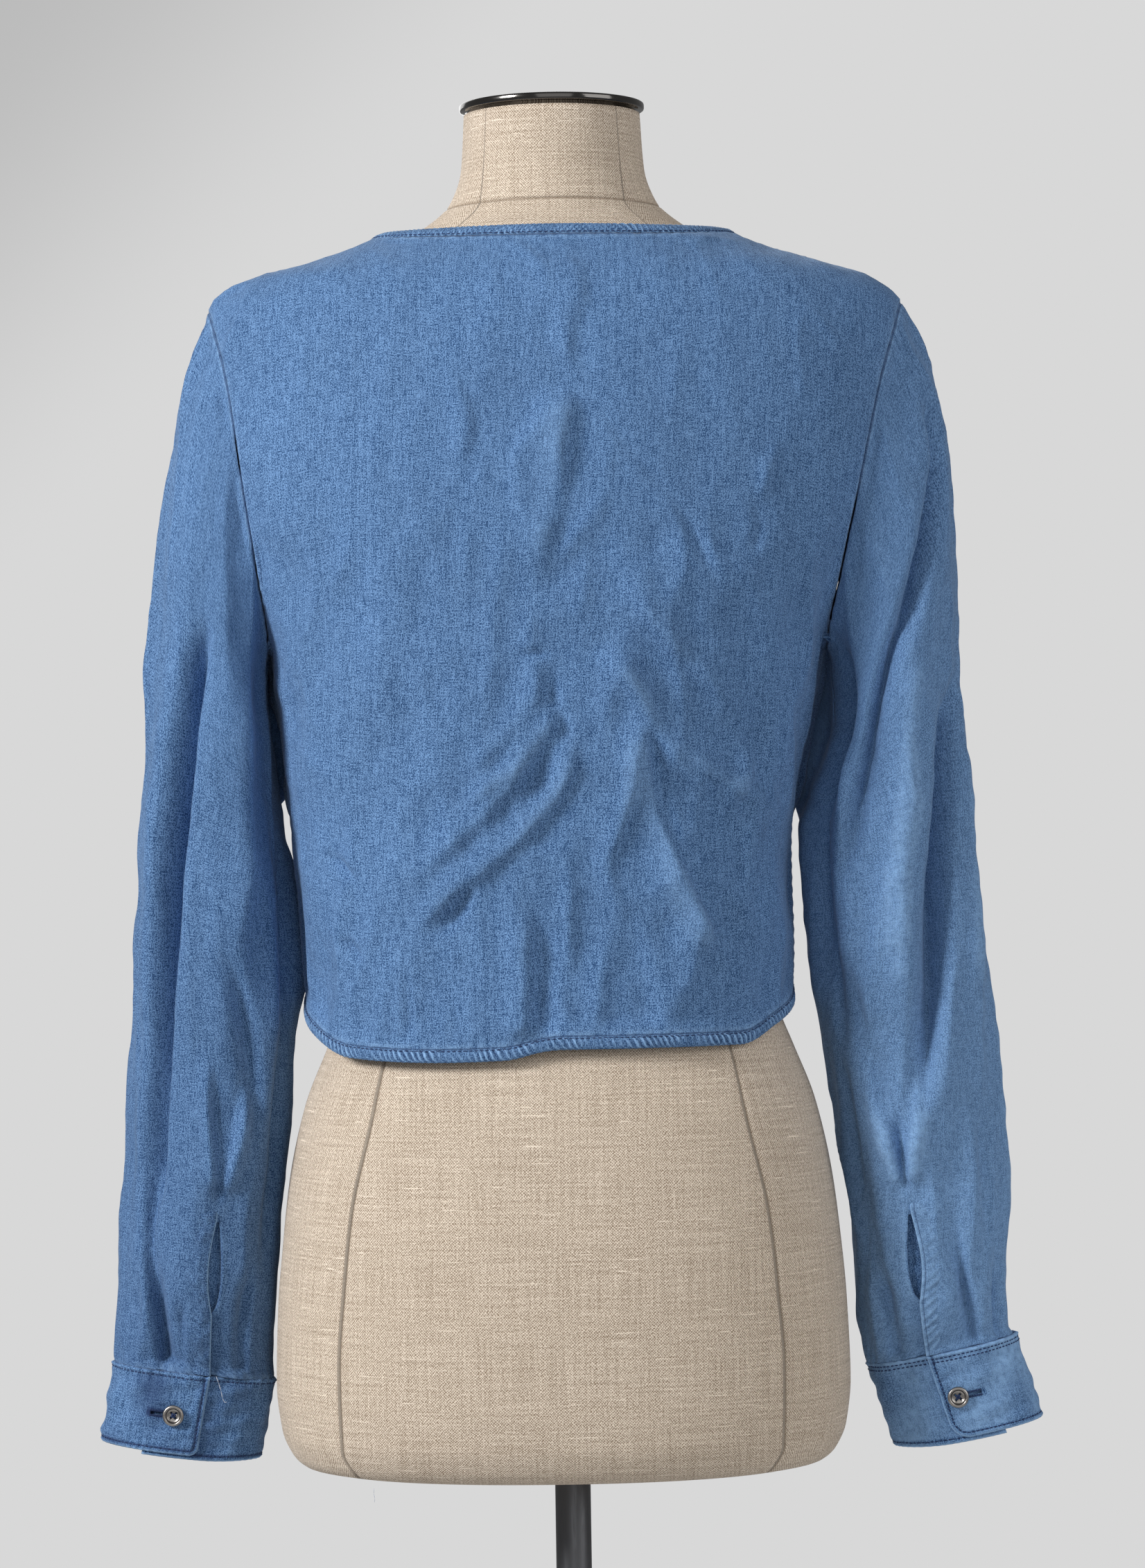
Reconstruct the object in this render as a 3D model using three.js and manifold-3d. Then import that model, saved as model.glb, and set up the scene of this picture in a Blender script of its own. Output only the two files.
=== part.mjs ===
// Cropped denim pullover blouse with long sleeves, resting on a limbless dress form with a
// neck cap, a pole and a round base. Millimetres, +Z up. The origin is the middle of the
// base's underside. The blouse faces -Y and its back faces +Y; +X is the wearer's left.
import * as THREE from 'three';
import { mergeVertices } from 'three/addons/utils/BufferGeometryUtils.js';
import Module from 'manifold-3d';

const wasm = await Module();
wasm.setup();

// ---------------------------------------------------------------- driving dimensions
const capTop = 1473;            // top of the neck cap above the floor
const formBottom = 708;         // underside of the dress form
const poleDiameter = 20;
const baseDiameter = 380;
const baseThickness = 8;

const clothWall = 1.2;          // panels and sleeves
const bindingWall = 2.2;        // folded binding at the neck and hem
const bindingHeight = 6;
const cuffWall = 2.2;
const seamGap = 0.3;

const shoulderPoint = { x: 195, z: 1358 };
const neckPoint = { x: 96, z: 1400 };
const neckDrop = { back: 1, front: 110 };
const neckCurve = { back: 4, front: 2.6 };      // more is flatter in the middle
const underarm = 1165;
const armholeDepth = 48;        // from the middle of the armhole to its front or back edge
const armholeCurve = 0.8;       // 1 is an ellipse and less is squarer

const BACK = 1;
const FRONT = -1;
const LEFT = 1;
const RIGHT = -1;

// ---------------------------------------------------------------- grid counts
const sideRows = 11;            // hem to underarm
const armholeRows = 12;         // underarm to shoulder point
const shoulderColumns = 5;
const neckColumns = 16;
const panelColumns = neckColumns + 2 * shoulderColumns;
const sleeveRings = 23;
const cuffSteps = 40;
const formSegments = 28;

// ---------------------------------------------------------------- tables
// Sections through the cloth of the body. half: half width, shift: middle of the section
// towards +X, back and front: depths, power: 2 is an ellipse and more is squarer.
const bodySections = [
  { z: 925, half: 135.5, shift: 9, back: 96, front: 116, power: 2.3 },
  { z: 957, half: 136.5, shift: 9, back: 96, front: 116.5, power: 2.3 },
  { z: 1000, half: 139, shift: 9.5, back: 96.5, front: 118, power: 2.3 },
  { z: 1030, half: 139.5, shift: 10.5, back: 97, front: 120, power: 2.3 },
  { z: 1060, half: 140.5, shift: 11.5, back: 98, front: 122.5, power: 2.3 },
  { z: 1085, half: 143, shift: 11.5, back: 100, front: 125, power: 2.3 },
  { z: 1107, half: 146.5, shift: 10.5, back: 102, front: 127.5, power: 2.3 },
  { z: 1140, half: 152, shift: 8, back: 104, front: 130, power: 2.3 },
  { z: 1172, half: 158, shift: 6.5, back: 105.5, front: 131.5, power: 2.3 },
  { z: 1210, half: 172, shift: 5, back: 106.5, front: 130, power: 2.25 },
  { z: 1260, half: 187, shift: 3, back: 106, front: 120.5, power: 2.2 },
  { z: 1310, half: 196, shift: 1, back: 102.5, front: 105, power: 2.1 },
  { z: 1340, half: 198, shift: 0, back: 97.5, front: 95, power: 2.05 },
  { z: 1358, half: 195, shift: 0, back: 92, front: 89, power: 2 },
  { z: 1373, half: 178, shift: 0, back: 84.5, front: 82, power: 2 },
  { z: 1385, half: 138, shift: 0, back: 76.5, front: 76, power: 2 },
  { z: 1400, half: 96, shift: 0, back: 65.5, front: 68, power: 2 },
];

// Bottom edge of the blouse, by the angle round the body: 0 is the middle of the back,
// 90 the wearer's left side seam, 180 the middle of the front.
const hemLine = [
  { angle: -180, z: 996 }, { angle: -140, z: 992 }, { angle: -115, z: 985 },
  { angle: -100, z: 976 }, { angle: -90, z: 967 }, { angle: -65, z: 955 },
  { angle: -48, z: 945.5 }, { angle: -25, z: 945.5 }, { angle: -2, z: 945.5 },
  { angle: 8, z: 940 }, { angle: 24, z: 939 }, { angle: 51, z: 941 },
  { angle: 70, z: 951 }, { angle: 90, z: 964 }, { angle: 100, z: 973 },
  { angle: 115, z: 984 }, { angle: 140, z: 992 }, { angle: 180, z: 996 },
];

// Sections of each sleeve from the armhole to the cuff seam, each a flat cut through an
// outer and an inner point. depth: half size along Y, middle: its middle along Y.
const sleeveSections = {
  left: [
    { outerX: 195, outerZ: 1358, innerX: 163.5, innerZ: 1165, depth: 48, middle: 0 },
    { outerX: 206.5, outerZ: 1328, innerX: 165, innerZ: 1151, depth: 49, middle: 0 },
    { outerX: 214.5, outerZ: 1284, innerX: 164.8, innerZ: 1137, depth: 49, middle: 0 },
    { outerX: 221, outerZ: 1240, innerX: 163, innerZ: 1121, depth: 48, middle: 0 },
    { outerX: 226.5, outerZ: 1198, innerX: 160.5, innerZ: 1103, depth: 47, middle: -1 },
    { outerX: 231.8, outerZ: 1155, innerX: 158, innerZ: 1083, depth: 46, middle: -2 },
    { outerX: 235.6, outerZ: 1110, innerX: 156, innerZ: 1061, depth: 45, middle: -3 },
    { outerX: 239, outerZ: 1062, innerX: 153.8, innerZ: 1034, depth: 44, middle: -4 },
    { outerX: 242.2, outerZ: 1012, innerX: 151.5, innerZ: 1000, depth: 43, middle: -5 },
    { outerX: 245.5, outerZ: 960, innerX: 150.5, innerZ: 956, depth: 42, middle: -6 },
    { outerX: 249, outerZ: 895, innerX: 156.5, innerZ: 891, depth: 41, middle: -8 },
    { outerX: 254, outerZ: 835, innerX: 162.8, innerZ: 828, depth: 39, middle: -9 },
    { outerX: 257, outerZ: 795, innerX: 165.5, innerZ: 784, depth: 36, middle: -10 },
    { outerX: 257.8, outerZ: 768, innerX: 167.5, innerZ: 756.5, depth: 28, middle: -10 },
  ],
  right: [
    { outerX: 195, outerZ: 1358, innerX: 150.5, innerZ: 1165, depth: 48, middle: 0 },
    { outerX: 209.5, outerZ: 1328, innerX: 152.8, innerZ: 1151, depth: 49, middle: 0 },
    { outerX: 219, outerZ: 1284, innerX: 152.8, innerZ: 1137, depth: 49, middle: 0 },
    { outerX: 223.5, outerZ: 1240, innerX: 151.5, innerZ: 1120, depth: 48, middle: 0 },
    { outerX: 224.5, outerZ: 1198, innerX: 146.5, innerZ: 1102, depth: 47, middle: -1 },
    { outerX: 226.5, outerZ: 1155, innerX: 138.5, innerZ: 1082, depth: 46, middle: -2 },
    { outerX: 228.5, outerZ: 1110, innerX: 133, innerZ: 1061, depth: 45, middle: -3 },
    { outerX: 231, outerZ: 1062, innerX: 133.5, innerZ: 1035, depth: 44, middle: -4 },
    { outerX: 236, outerZ: 1012, innerX: 136, innerZ: 1000, depth: 43, middle: -5 },
    { outerX: 240.3, outerZ: 960, innerX: 141.5, innerZ: 955, depth: 42, middle: -6 },
    { outerX: 244.8, outerZ: 895, innerX: 150.5, innerZ: 890, depth: 41, middle: -8 },
    { outerX: 248.3, outerZ: 835, innerX: 157.8, innerZ: 826, depth: 39, middle: -9 },
    { outerX: 250, outerZ: 800, innerX: 162, innerZ: 784, depth: 36, middle: -10 },
    { outerX: 251, outerZ: 776, innerX: 166.8, innerZ: 760, depth: 28, middle: -10 },
  ],
};

// Largest folds of the sleeves. from and to: section numbers, angles: degrees round the
// sleeve (0 outer, 90 back, 180 inner), width in degrees, depth in millimetres inward.
const sleeveFolds = {
  left: [
    { from: 1.2, to: 13, startAngle: 86, endAngle: 50, width: 17, depth: 5 },
    { from: 5, to: 12.5, startAngle: 300, endAngle: 290, width: 20, depth: 5 },
    { from: 6, to: 12.5, startAngle: 150, endAngle: 128, width: 16, depth: 3 },
  ],
  right: [
    { from: 1.4, to: 13, startAngle: 28, endAngle: 84, width: 16, depth: 5.5 },
    { from: 1, to: 9, startAngle: 60, endAngle: 134, width: 16, depth: 4 },
    { from: 5, to: 12.5, startAngle: 296, endAngle: 284, width: 20, depth: 5 },
  ],
};

// Largest folds of the body cloth, from point to point across the back or front.
const bodyFolds = [
  { side: BACK, x1: 16, z1: 1145, x2: 96, z2: 1000, width: 12, depth: 3 },
  { side: BACK, x1: 0, z1: 1100, x2: 92, z2: 985, width: 12, depth: -3 },
  { side: BACK, x1: 18, z1: 1030, x2: 22, z2: 945, width: 11, depth: 4 },
  { side: BACK, x1: -42, z1: 1160, x2: -86, z2: 990, width: 12, depth: 3.5 },
  { side: BACK, x1: -50, z1: 1290, x2: -78, z2: 1200, width: 14, depth: 2.5 },
  { side: FRONT, x1: 40, z1: 1180, x2: 62, z2: 1010, width: 16, depth: 4 },
  { side: FRONT, x1: -36, z1: 1170, x2: -58, z2: 1010, width: 16, depth: 4 },
  { side: FRONT, x1: 4, z1: 1130, x2: 2, z2: 1000, width: 15, depth: -3 },
];

// Middle of each cuff's lower edge, and the angle round it of its button. Its upper edge
// follows the sleeve's last section.
const cuffs = {
  left: { bottomX: 221, bottomZ: 717.5, buttonAngle: 83 },
  right: { bottomX: 224.1, bottomZ: 720.8, buttonAngle: 91 },
};
const cuffGap = 0.6;            // between the sleeve's edge and the cuff's
const cuffUnderAngle = 62;      // where the layer underneath starts
const cuffOverAngle = 104;      // where the layer on top ends
const cuffCorner = 12;          // radius of the rounded corner
const cuffUnderDrop = 2.5;      // how much longer the layer underneath hangs
const cuffTuckAngles = [4, 70]; // past the end on top, where the band comes out to its full size
const buttonDown = 0.52;        // share of the cuff's height at the button

// Sections of the dress form: half width, depths behind and in front, squareness, and
// shift: the middle of the section towards +X.
const formSections = [
  { z: formBottom, half: 135, shift: 4.2, back: 84, front: 76, power: 2.2 },
  { z: 710.5, half: 146, shift: 4.2, back: 92, front: 84, power: 2.2 },
  { z: 717, half: 153, shift: 4.2, back: 98.5, front: 90, power: 2.2 },
  { z: 730, half: 158.5, shift: 4.2, back: 104, front: 94, power: 2.2 },
  { z: 755, half: 161.3, shift: 4.2, back: 107, front: 96, power: 2.2 },
  { z: 800, half: 159.8, shift: 4.2, back: 108, front: 97, power: 2.2 },
  { z: 832, half: 157, shift: 4, back: 107, front: 97, power: 2.2 },
  { z: 870, half: 152.5, shift: 4, back: 103, front: 96, power: 2.2 },
  { z: 911, half: 143.5, shift: 3.8, back: 96, front: 94, power: 2.2 },
  { z: 943, half: 131, shift: 3.5, back: 88, front: 90, power: 2.2 },
  { z: 960, half: 124, shift: 3.2, back: 83, front: 87, power: 2.2 },
  { z: 990, half: 117, shift: 3, back: 77, front: 84.5, power: 2.2 },
  { z: 1017, half: 115.5, shift: 2.5, back: 75, front: 84, power: 2.2 },
  { z: 1060, half: 119, shift: 2, back: 79, front: 90, power: 2.2 },
  { z: 1107, half: 127, shift: 1.5, back: 87, front: 105, power: 2.2 },
  { z: 1140, half: 132, shift: 1, back: 93, front: 118, power: 2.2 },
  { z: 1180, half: 138, shift: 0.5, back: 98.5, front: 126, power: 2.15 },
  { z: 1210, half: 146, shift: 0, back: 101, front: 124, power: 2.1 },
  { z: 1260, half: 160, shift: 0, back: 101.5, front: 114, power: 2.1 },
  { z: 1310, half: 174, shift: 0, back: 98, front: 98, power: 2.05 },
  { z: 1337, half: 180, shift: 0, back: 93, front: 90, power: 2 },
  { z: 1353.4, half: 179, shift: 0, back: 87, front: 83.5, power: 2 },
  { z: 1364.6, half: 170, shift: 0, back: 81.5, front: 78.5, power: 2 },
  { z: 1373.6, half: 151, shift: 0, back: 76.5, front: 74.5, power: 2 },
  { z: 1382.6, half: 126, shift: 0, back: 70.5, front: 70.5, power: 2 },
  { z: 1393.2, half: 95, shift: 0, back: 63, front: 64.5, power: 2 },
  { z: 1402, half: 75, shift: 0, back: 58.5, front: 61, power: 2 },
  { z: 1417, half: 58, shift: 0, back: 54.5, front: 55.5, power: 2 },
  { z: 1436, half: 51.5, shift: 0, back: 51, front: 51.5, power: 2 },
  { z: 1466.5, half: 49.5, shift: 0, back: 49.5, front: 49.5, power: 2 },
];

// ---------------------------------------------------------------- interpolation
// Value of one column of a table at a place along its first column: a smooth cubic with
// slopes limited so that it never overshoots the rows.
function lookUp(table, along, key, at) {
  const last = table.length - 1;
  const place = Math.min(Math.max(at, table[0][along]), table[last][along]);
  let row = 0;
  while (row < last - 1 && table[row + 1][along] < place) row += 1;
  const slope = (i) => (table[i + 1][key] - table[i][key]) / (table[i + 1][along] - table[i][along]);
  const tangent = (i) => {
    if (i === 0) return slope(0);
    if (i === last) return slope(last - 1);
    const before = slope(i - 1);
    const after = slope(i);
    return before * after <= 0 ? 0 : (2 * before * after) / (before + after);
  };
  const step = table[row + 1][along] - table[row][along];
  const t = (place - table[row][along]) / step;
  const a = table[row][key];
  const b = table[row + 1][key];
  const ta = tangent(row) * step;
  const tb = tangent(row + 1) * step;
  return a + t * (ta + t * (3 * (b - a) - 2 * ta - tb + t * (2 * (a - b) + ta + tb)));
}

const radians = THREE.MathUtils.degToRad;
const smooth = (value, low, high) => THREE.MathUtils.smoothstep(value, low, high);
const signedPower = (value, power) => Math.sign(value) * Math.abs(value) ** power;

// ---------------------------------------------------------------- closed solids
// A wall from a grid of outer points and one of inner points, closed at its rims. A grid
// whose columns meet again is a tube.
function wallBetween(outer, inner, isTube) {
  const rows = outer.length;
  const columns = outer[0].length;
  const points = [...outer.flat(), ...inner.flat()];
  const outerAt = (r, c) => r * columns + (c % columns);
  const innerAt = (r, c) => outerAt(r, c) + rows * columns;
  const faces = [];
  const quad = (a, b, c, d) => faces.push(a, b, c, a, c, d);
  const steps = isTube ? columns : columns - 1;
  for (let r = 0; r < rows - 1; r += 1) {
    for (let c = 0; c < steps; c += 1) {
      quad(outerAt(r, c), outerAt(r, c + 1), outerAt(r + 1, c + 1), outerAt(r + 1, c));
      quad(innerAt(r, c), innerAt(r + 1, c), innerAt(r + 1, c + 1), innerAt(r, c + 1));
    }
    if (!isTube) {
      quad(outerAt(r, 0), outerAt(r + 1, 0), innerAt(r + 1, 0), innerAt(r, 0));
      quad(innerAt(r, steps), innerAt(r + 1, steps), outerAt(r + 1, steps), outerAt(r, steps));
    }
  }
  for (let c = 0; c < steps; c += 1) {
    quad(innerAt(0, c), innerAt(0, c + 1), outerAt(0, c + 1), outerAt(0, c));
    quad(outerAt(rows - 1, c), outerAt(rows - 1, c + 1), innerAt(rows - 1, c + 1), innerAt(rows - 1, c));
  }
  return closedGeometry(points, faces);
}

// Rings of points from bottom to top, capped by a fan at each end.
function loftBetween(rings) {
  const count = rings[0].length;
  const points = rings.flat();
  const faces = [];
  for (let r = 0; r < rings.length - 1; r += 1) {
    for (let c = 0; c < count; c += 1) {
      const next = (c + 1) % count;
      const a = r * count + c;
      const b = r * count + next;
      faces.push(a, b, b + count, a, b + count, a + count);
    }
  }
  const top = (rings.length - 1) * count;
  for (let c = 1; c < count - 1; c += 1) {
    faces.push(0, c + 1, c);
    faces.push(top, top + c, top + c + 1);
  }
  return closedGeometry(points, faces);
}

function closedGeometry(points, faces) {
  let volume = 0;
  const cross = new THREE.Vector3();
  for (let f = 0; f < faces.length; f += 3) {
    cross.crossVectors(points[faces[f + 1]], points[faces[f + 2]]);
    volume += points[faces[f]].dot(cross);
  }
  if (volume < 0) faces.reverse();
  const geometry = new THREE.BufferGeometry();
  const numbers = points.flatMap((point) => [point.x, point.y, point.z]);
  geometry.setAttribute('position', new THREE.Float32BufferAttribute(numbers, 3));
  geometry.setIndex(faces);
  geometry.computeVertexNormals();
  return geometry;
}

function toManifold(geometry) {
  const bare = geometry.clone();
  bare.deleteAttribute('normal');
  bare.deleteAttribute('uv');
  const merged = mergeVertices(bare, 1e-4);
  return new wasm.Manifold(new wasm.Mesh({
    numProp: 3,
    vertProperties: new Float32Array(merged.attributes.position.array),
    triVerts: new Uint32Array(merged.index.array),
  }));
}

function toGeometry(manifold) {
  const mesh = manifold.getMesh();
  const geometry = new THREE.BufferGeometry();
  geometry.setAttribute('position', new THREE.BufferAttribute(new Float32Array(mesh.vertProperties), 3));
  geometry.setIndex([...mesh.triVerts]);
  geometry.computeVertexNormals();
  return geometry;
}

// Outward unit normal of a surface at (u, v), with both kept inside their ranges.
function normalOf(surface, u, v, turn = 1) {
  const tiny = 1e-3;
  const inside = (value) => Math.min(Math.max(value, 0), 1);
  const along = surface(inside(u + tiny), v).sub(surface(inside(u - tiny), v));
  const up = surface(u, inside(v + tiny)).sub(surface(u, inside(v - tiny)));
  return along.cross(up).normalize().multiplyScalar(turn);
}

// ---------------------------------------------------------------- body of the blouse
// Outer section of the cloth at height z, on the back or the front.
function sectionAt(side, z) {
  return {
    half: lookUp(bodySections, 'z', 'half', z),
    shift: lookUp(bodySections, 'z', 'shift', z),
    depth: lookUp(bodySections, 'z', side === BACK ? 'back' : 'front', z),
    power: lookUp(bodySections, 'z', 'power', z),
  };
}

// Point on the cloth's outer surface: angle from the middle of the side's own panel.
function bodyPoint(side, angle, z) {
  const { half, shift, depth, power } = sectionAt(side, z);
  const x = shift + half * signedPower(Math.sin(angle), 2 / power);
  const y = side * depth * Math.abs(Math.cos(angle)) ** (2 / power);
  return new THREE.Vector3(x, Math.abs(angle) >= Math.PI / 2 ? 0 : y, z);
}

// Outward normal of that surface.
function bodyNormal(side, angle, z) {
  const tiny = 1e-3;
  const along = bodyPoint(side, angle + tiny, z).sub(bodyPoint(side, angle - tiny, z));
  const up = bodyPoint(side, angle, z + tiny).sub(bodyPoint(side, angle, z - tiny));
  return along.cross(up).normalize().multiplyScalar(-side);
}

// Lengths along the section from its middle, at equal steps of angle up to the side.
function sectionLengths(side, z) {
  const { half, depth, power } = sectionAt(side, z);
  const steps = 36;
  const lengths = [0];
  let before = [0, depth];
  for (let i = 1; i <= steps; i += 1) {
    const angle = (i / steps) * Math.PI / 2;
    const now = [half * Math.sin(angle) ** (2 / power), depth * Math.abs(Math.cos(angle)) ** (2 / power)];
    lengths.push(lengths[i - 1] + Math.hypot(now[0] - before[0], now[1] - before[1]));
    before = now;
  }
  return lengths;
}

function lengthAt(side, angle, z) {
  const lengths = sectionLengths(side, z);
  const place = Math.min(Math.abs(angle) / (Math.PI / 2), 1) * (lengths.length - 1);
  const step = Math.min(Math.floor(place), lengths.length - 2);
  return Math.sign(angle) * THREE.MathUtils.lerp(lengths[step], lengths[step + 1], place - step);
}

function angleAtLength(side, length, z) {
  const lengths = sectionLengths(side, z);
  const steps = lengths.length - 1;
  const wanted = Math.min(Math.abs(length), lengths[steps]);
  let step = 0;
  while (step < steps - 1 && lengths[step + 1] < wanted) step += 1;
  const share = (wanted - lengths[step]) / (lengths[step + 1] - lengths[step]);
  return Math.sign(length) * ((step + share) / steps) * Math.PI / 2;
}

// Angle at which the section at height z reaches x, or reaches a depth.
function angleAtX(x, z) {
  const { half, shift, power } = sectionAt(BACK, z);
  return Math.asin(signedPower(THREE.MathUtils.clamp((x - shift) / half, -1, 1), power / 2));
}

function angleAtDepth(side, y, z) {
  const { depth, power } = sectionAt(side, z);
  return Math.acos((y / depth) ** (power / 2));
}

// Bottom edge at an angle from the middle of the side's own panel.
function hemHeight(side, angle) {
  const degrees = THREE.MathUtils.radToDeg(angle);
  if (side === BACK) return lookUp(hemLine, 'angle', 'z', degrees);
  return lookUp(hemLine, 'angle', 'z', degrees >= 0 ? 180 - degrees : -180 - degrees);
}

// Height of the shoulder line at a distance from the middle.
function shoulderHeight(x) {
  let low = shoulderPoint.z;
  let high = neckPoint.z;
  for (let i = 0; i < 40; i += 1) {
    const z = (low + high) / 2;
    if (lookUp(bodySections, 'z', 'half', z) > x) low = z;
    else high = z;
  }
  return (low + high) / 2;
}

// Neckline at a share from -1 to 1 across it; inset moves it down into the panel.
function neckline(side, share, inset) {
  const end = neckPoint.x + inset;
  const x = end * Math.sin(share * Math.PI / 2);
  const endZ = shoulderHeight(end);
  const name = side === BACK ? 'back' : 'front';
  const middleZ = neckPoint.z - neckDrop[name] - inset;
  const z = middleZ + (endZ - middleZ) * Math.abs(x / end) ** neckCurve[name];
  const angle = Math.abs(share) > 0.9999 ? share * Math.PI / 2 : angleAtX(x, z);
  return { angle, z };
}

// Armhole of one side panel, from the underarm (0) to the shoulder point (1).
function armhole(side, share) {
  const turn = share * Math.PI;
  const middle = (shoulderPoint.z + underarm) / 2;
  const z = middle - (shoulderPoint.z - middle) * Math.cos(turn);
  const y = armholeDepth * Math.sin(turn) ** armholeCurve;
  return { angle: y < 1e-3 ? Math.PI / 2 : angleAtDepth(side, y, z), z };
}

const underarmShare = sideRows / (sideRows + armholeRows);
const shoulderShare = shoulderColumns / panelColumns;
const panelInset = bindingHeight + 2 * seamGap;
const edgePull = 3;             // how fast the columns straighten away from a side edge
const seamShift = 0.6 * seamGap;                // front and back stand this far apart
const calmBand = { side: 0.12, bottom: 0.05, top: 0.9 };       // shares of a panel without folds

function panelBottom(side, u) {
  const angle = (u - 0.5) * Math.PI;
  return { angle, z: hemHeight(side, angle) + panelInset };
}

function panelTop(side, u) {
  const fromEdge = Math.min(u, 1 - u);
  if (fromEdge >= shoulderShare) {
    return neckline(side, (u - 0.5) / (0.5 - shoulderShare), panelInset);
  }
  const x = THREE.MathUtils.lerp(shoulderPoint.x, neckPoint.x + panelInset, fromEdge / shoulderShare);
  return { angle: Math.sign(u - 0.5) * Math.PI / 2, z: shoulderHeight(x) };
}

function panelEdge(side, hand, v) {
  const corner = hemHeight(side, hand * Math.PI / 2) + panelInset;
  if (v <= underarmShare) {
    return { angle: hand * Math.PI / 2, z: THREE.MathUtils.lerp(corner, underarm, v / underarmShare) };
  }
  const place = armhole(side, (v - underarmShare) / (1 - underarmShare));
  return { angle: hand * place.angle, z: place.z };
}

// Place of (u, v) in a panel, measured along the sections: straight columns from the
// bottom edge to the top, bent near the side edges so that they follow the armholes.
function panelPlace(side, u, v) {
  const measured = (place) => ({ length: lengthAt(side, place.angle, place.z), z: place.z });
  const bottom = measured(panelBottom(side, u));
  const top = measured(panelTop(side, u));
  const place = { length: 0, z: 0 };
  for (const key of ['length', 'z']) place[key] = THREE.MathUtils.lerp(bottom[key], top[key], v);
  for (const [hand, corner, weight] of [[RIGHT, 0, (1 - u) ** edgePull], [LEFT, 1, u ** edgePull]]) {
    const edge = measured(panelEdge(side, hand, v));
    const low = measured(panelBottom(side, corner));
    const high = measured(panelTop(side, corner));
    for (const key of ['length', 'z']) {
      place[key] += weight * (edge[key] - THREE.MathUtils.lerp(low[key], high[key], v));
    }
  }
  return place;
}

// Depth of the body's folds at a point; each fades out at its ends.
function bodyFoldDepth(side, point) {
  let sum = 0;
  for (const fold of bodyFolds) {
    if (fold.side !== side) continue;
    const alongX = fold.x2 - fold.x1;
    const alongZ = fold.z2 - fold.z1;
    const length = Math.hypot(alongX, alongZ);
    const share = ((point.x - fold.x1) * alongX + (point.z - fold.z1) * alongZ) / length ** 2;
    const across = ((point.x - fold.x1) * alongZ - (point.z - fold.z1) * alongX) / length;
    const fade = smooth(share, -0.15, 0.3) * (1 - smooth(share, 0.75, 1.15));
    sum += fold.depth * fade * Math.exp(-((across / fold.width) ** 2));
  }
  return sum;
}

function panelGeometry(side) {
  const outer = [];
  const inner = [];
  const lastRow = sideRows + armholeRows;
  for (let r = 0; r <= lastRow; r += 1) {
    outer.push([]);
    inner.push([]);
    for (let c = 0; c <= panelColumns; c += 1) {
      const u = c / panelColumns;
      const v = r / lastRow;
      const place = panelPlace(side, u, v);
      const angle = angleAtLength(side, place.length, place.z);
      const point = bodyPoint(side, angle, place.z);
      const normal = bodyNormal(side, angle, place.z);
      const calmSide = smooth(Math.min(u, 1 - u), 0, calmBand.side);
      const calmEnds = smooth(v, 0, calmBand.bottom) * (1 - smooth(v, calmBand.top, 1));
      point.addScaledVector(normal, -bodyFoldDepth(side, point) * calmSide * calmEnds);
      const atSeam = c === 0 || c === panelColumns;
      const atShoulder = r === lastRow && (u < shoulderShare + 1e-6 || u > 1 - shoulderShare - 1e-6);
      if (atSeam && r >= sideRows && r < lastRow) point.x -= Math.sign(u - 0.5) * seamGap / 2;
      if ((atSeam && r <= sideRows) || atShoulder) point.y += side * seamShift;
      outer[r].push(point);
      inner[r].push(point.clone().addScaledVector(normal, -clothWall));
    }
  }
  return wallBetween(outer, inner, false);
}

// ---------------------------------------------------------------- bindings
// A closed band round the body: places lists the points of the loop at an inset.
function bandGeometry(loopAt, count) {
  const outer = [[], []];
  const inner = [[], []];
  for (let i = 0; i < count; i += 1) {
    [0, bindingHeight].forEach((inset, edge) => {
      const place = loopAt(i, inset);
      const normal = bodyNormal(place.side, place.angle, place.z);
      const point = bodyPoint(place.side, place.angle, place.z);
      outer[edge].push(point.clone().addScaledVector(normal, (bindingWall - clothWall) / 2));
      inner[edge].push(point.clone().addScaledVector(normal, -(bindingWall + clothWall) / 2));
    });
  }
  return wallBetween(outer, inner, true);
}

function neckLoop(i, inset) {
  const side = i < neckColumns ? BACK : FRONT;
  const step = i < neckColumns ? i : 2 * neckColumns - i;
  return { side, ...neckline(side, (2 * step) / neckColumns - 1, inset) };
}

function hemLoop(i, inset) {
  const side = i < panelColumns ? BACK : FRONT;
  const step = i < panelColumns ? i : 2 * panelColumns - i;
  const angle = (step / panelColumns - 0.5) * Math.PI;
  return { side, angle, z: hemHeight(side, angle) + inset };
}

// ---------------------------------------------------------------- sleeves
// Point of the armhole by the angle round the sleeve: 0 at the shoulder, 90 at the back.
function armholePoint(hand, round) {
  const turn = THREE.MathUtils.euclideanModulo(round, 2 * Math.PI);
  const side = turn <= Math.PI ? BACK : FRONT;
  const place = armhole(side, Math.abs(Math.PI - turn) / Math.PI);
  return bodyPoint(side, hand * place.angle, place.z);
}

function sectionPoint(section, hand, round) {
  const x = (section.outerX + section.innerX) / 2 + (section.outerX - section.innerX) / 2 * Math.cos(round);
  const z = (section.outerZ + section.innerZ) / 2 + (section.outerZ - section.innerZ) / 2 * Math.cos(round);
  return new THREE.Vector3(hand * x, section.middle + section.depth * Math.sin(round), z);
}

const armholeBlend = 3;         // sections over which the armhole's shape fades out
const armholeStart = 0.02;      // sections down the sleeve at which its edge begins

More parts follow.
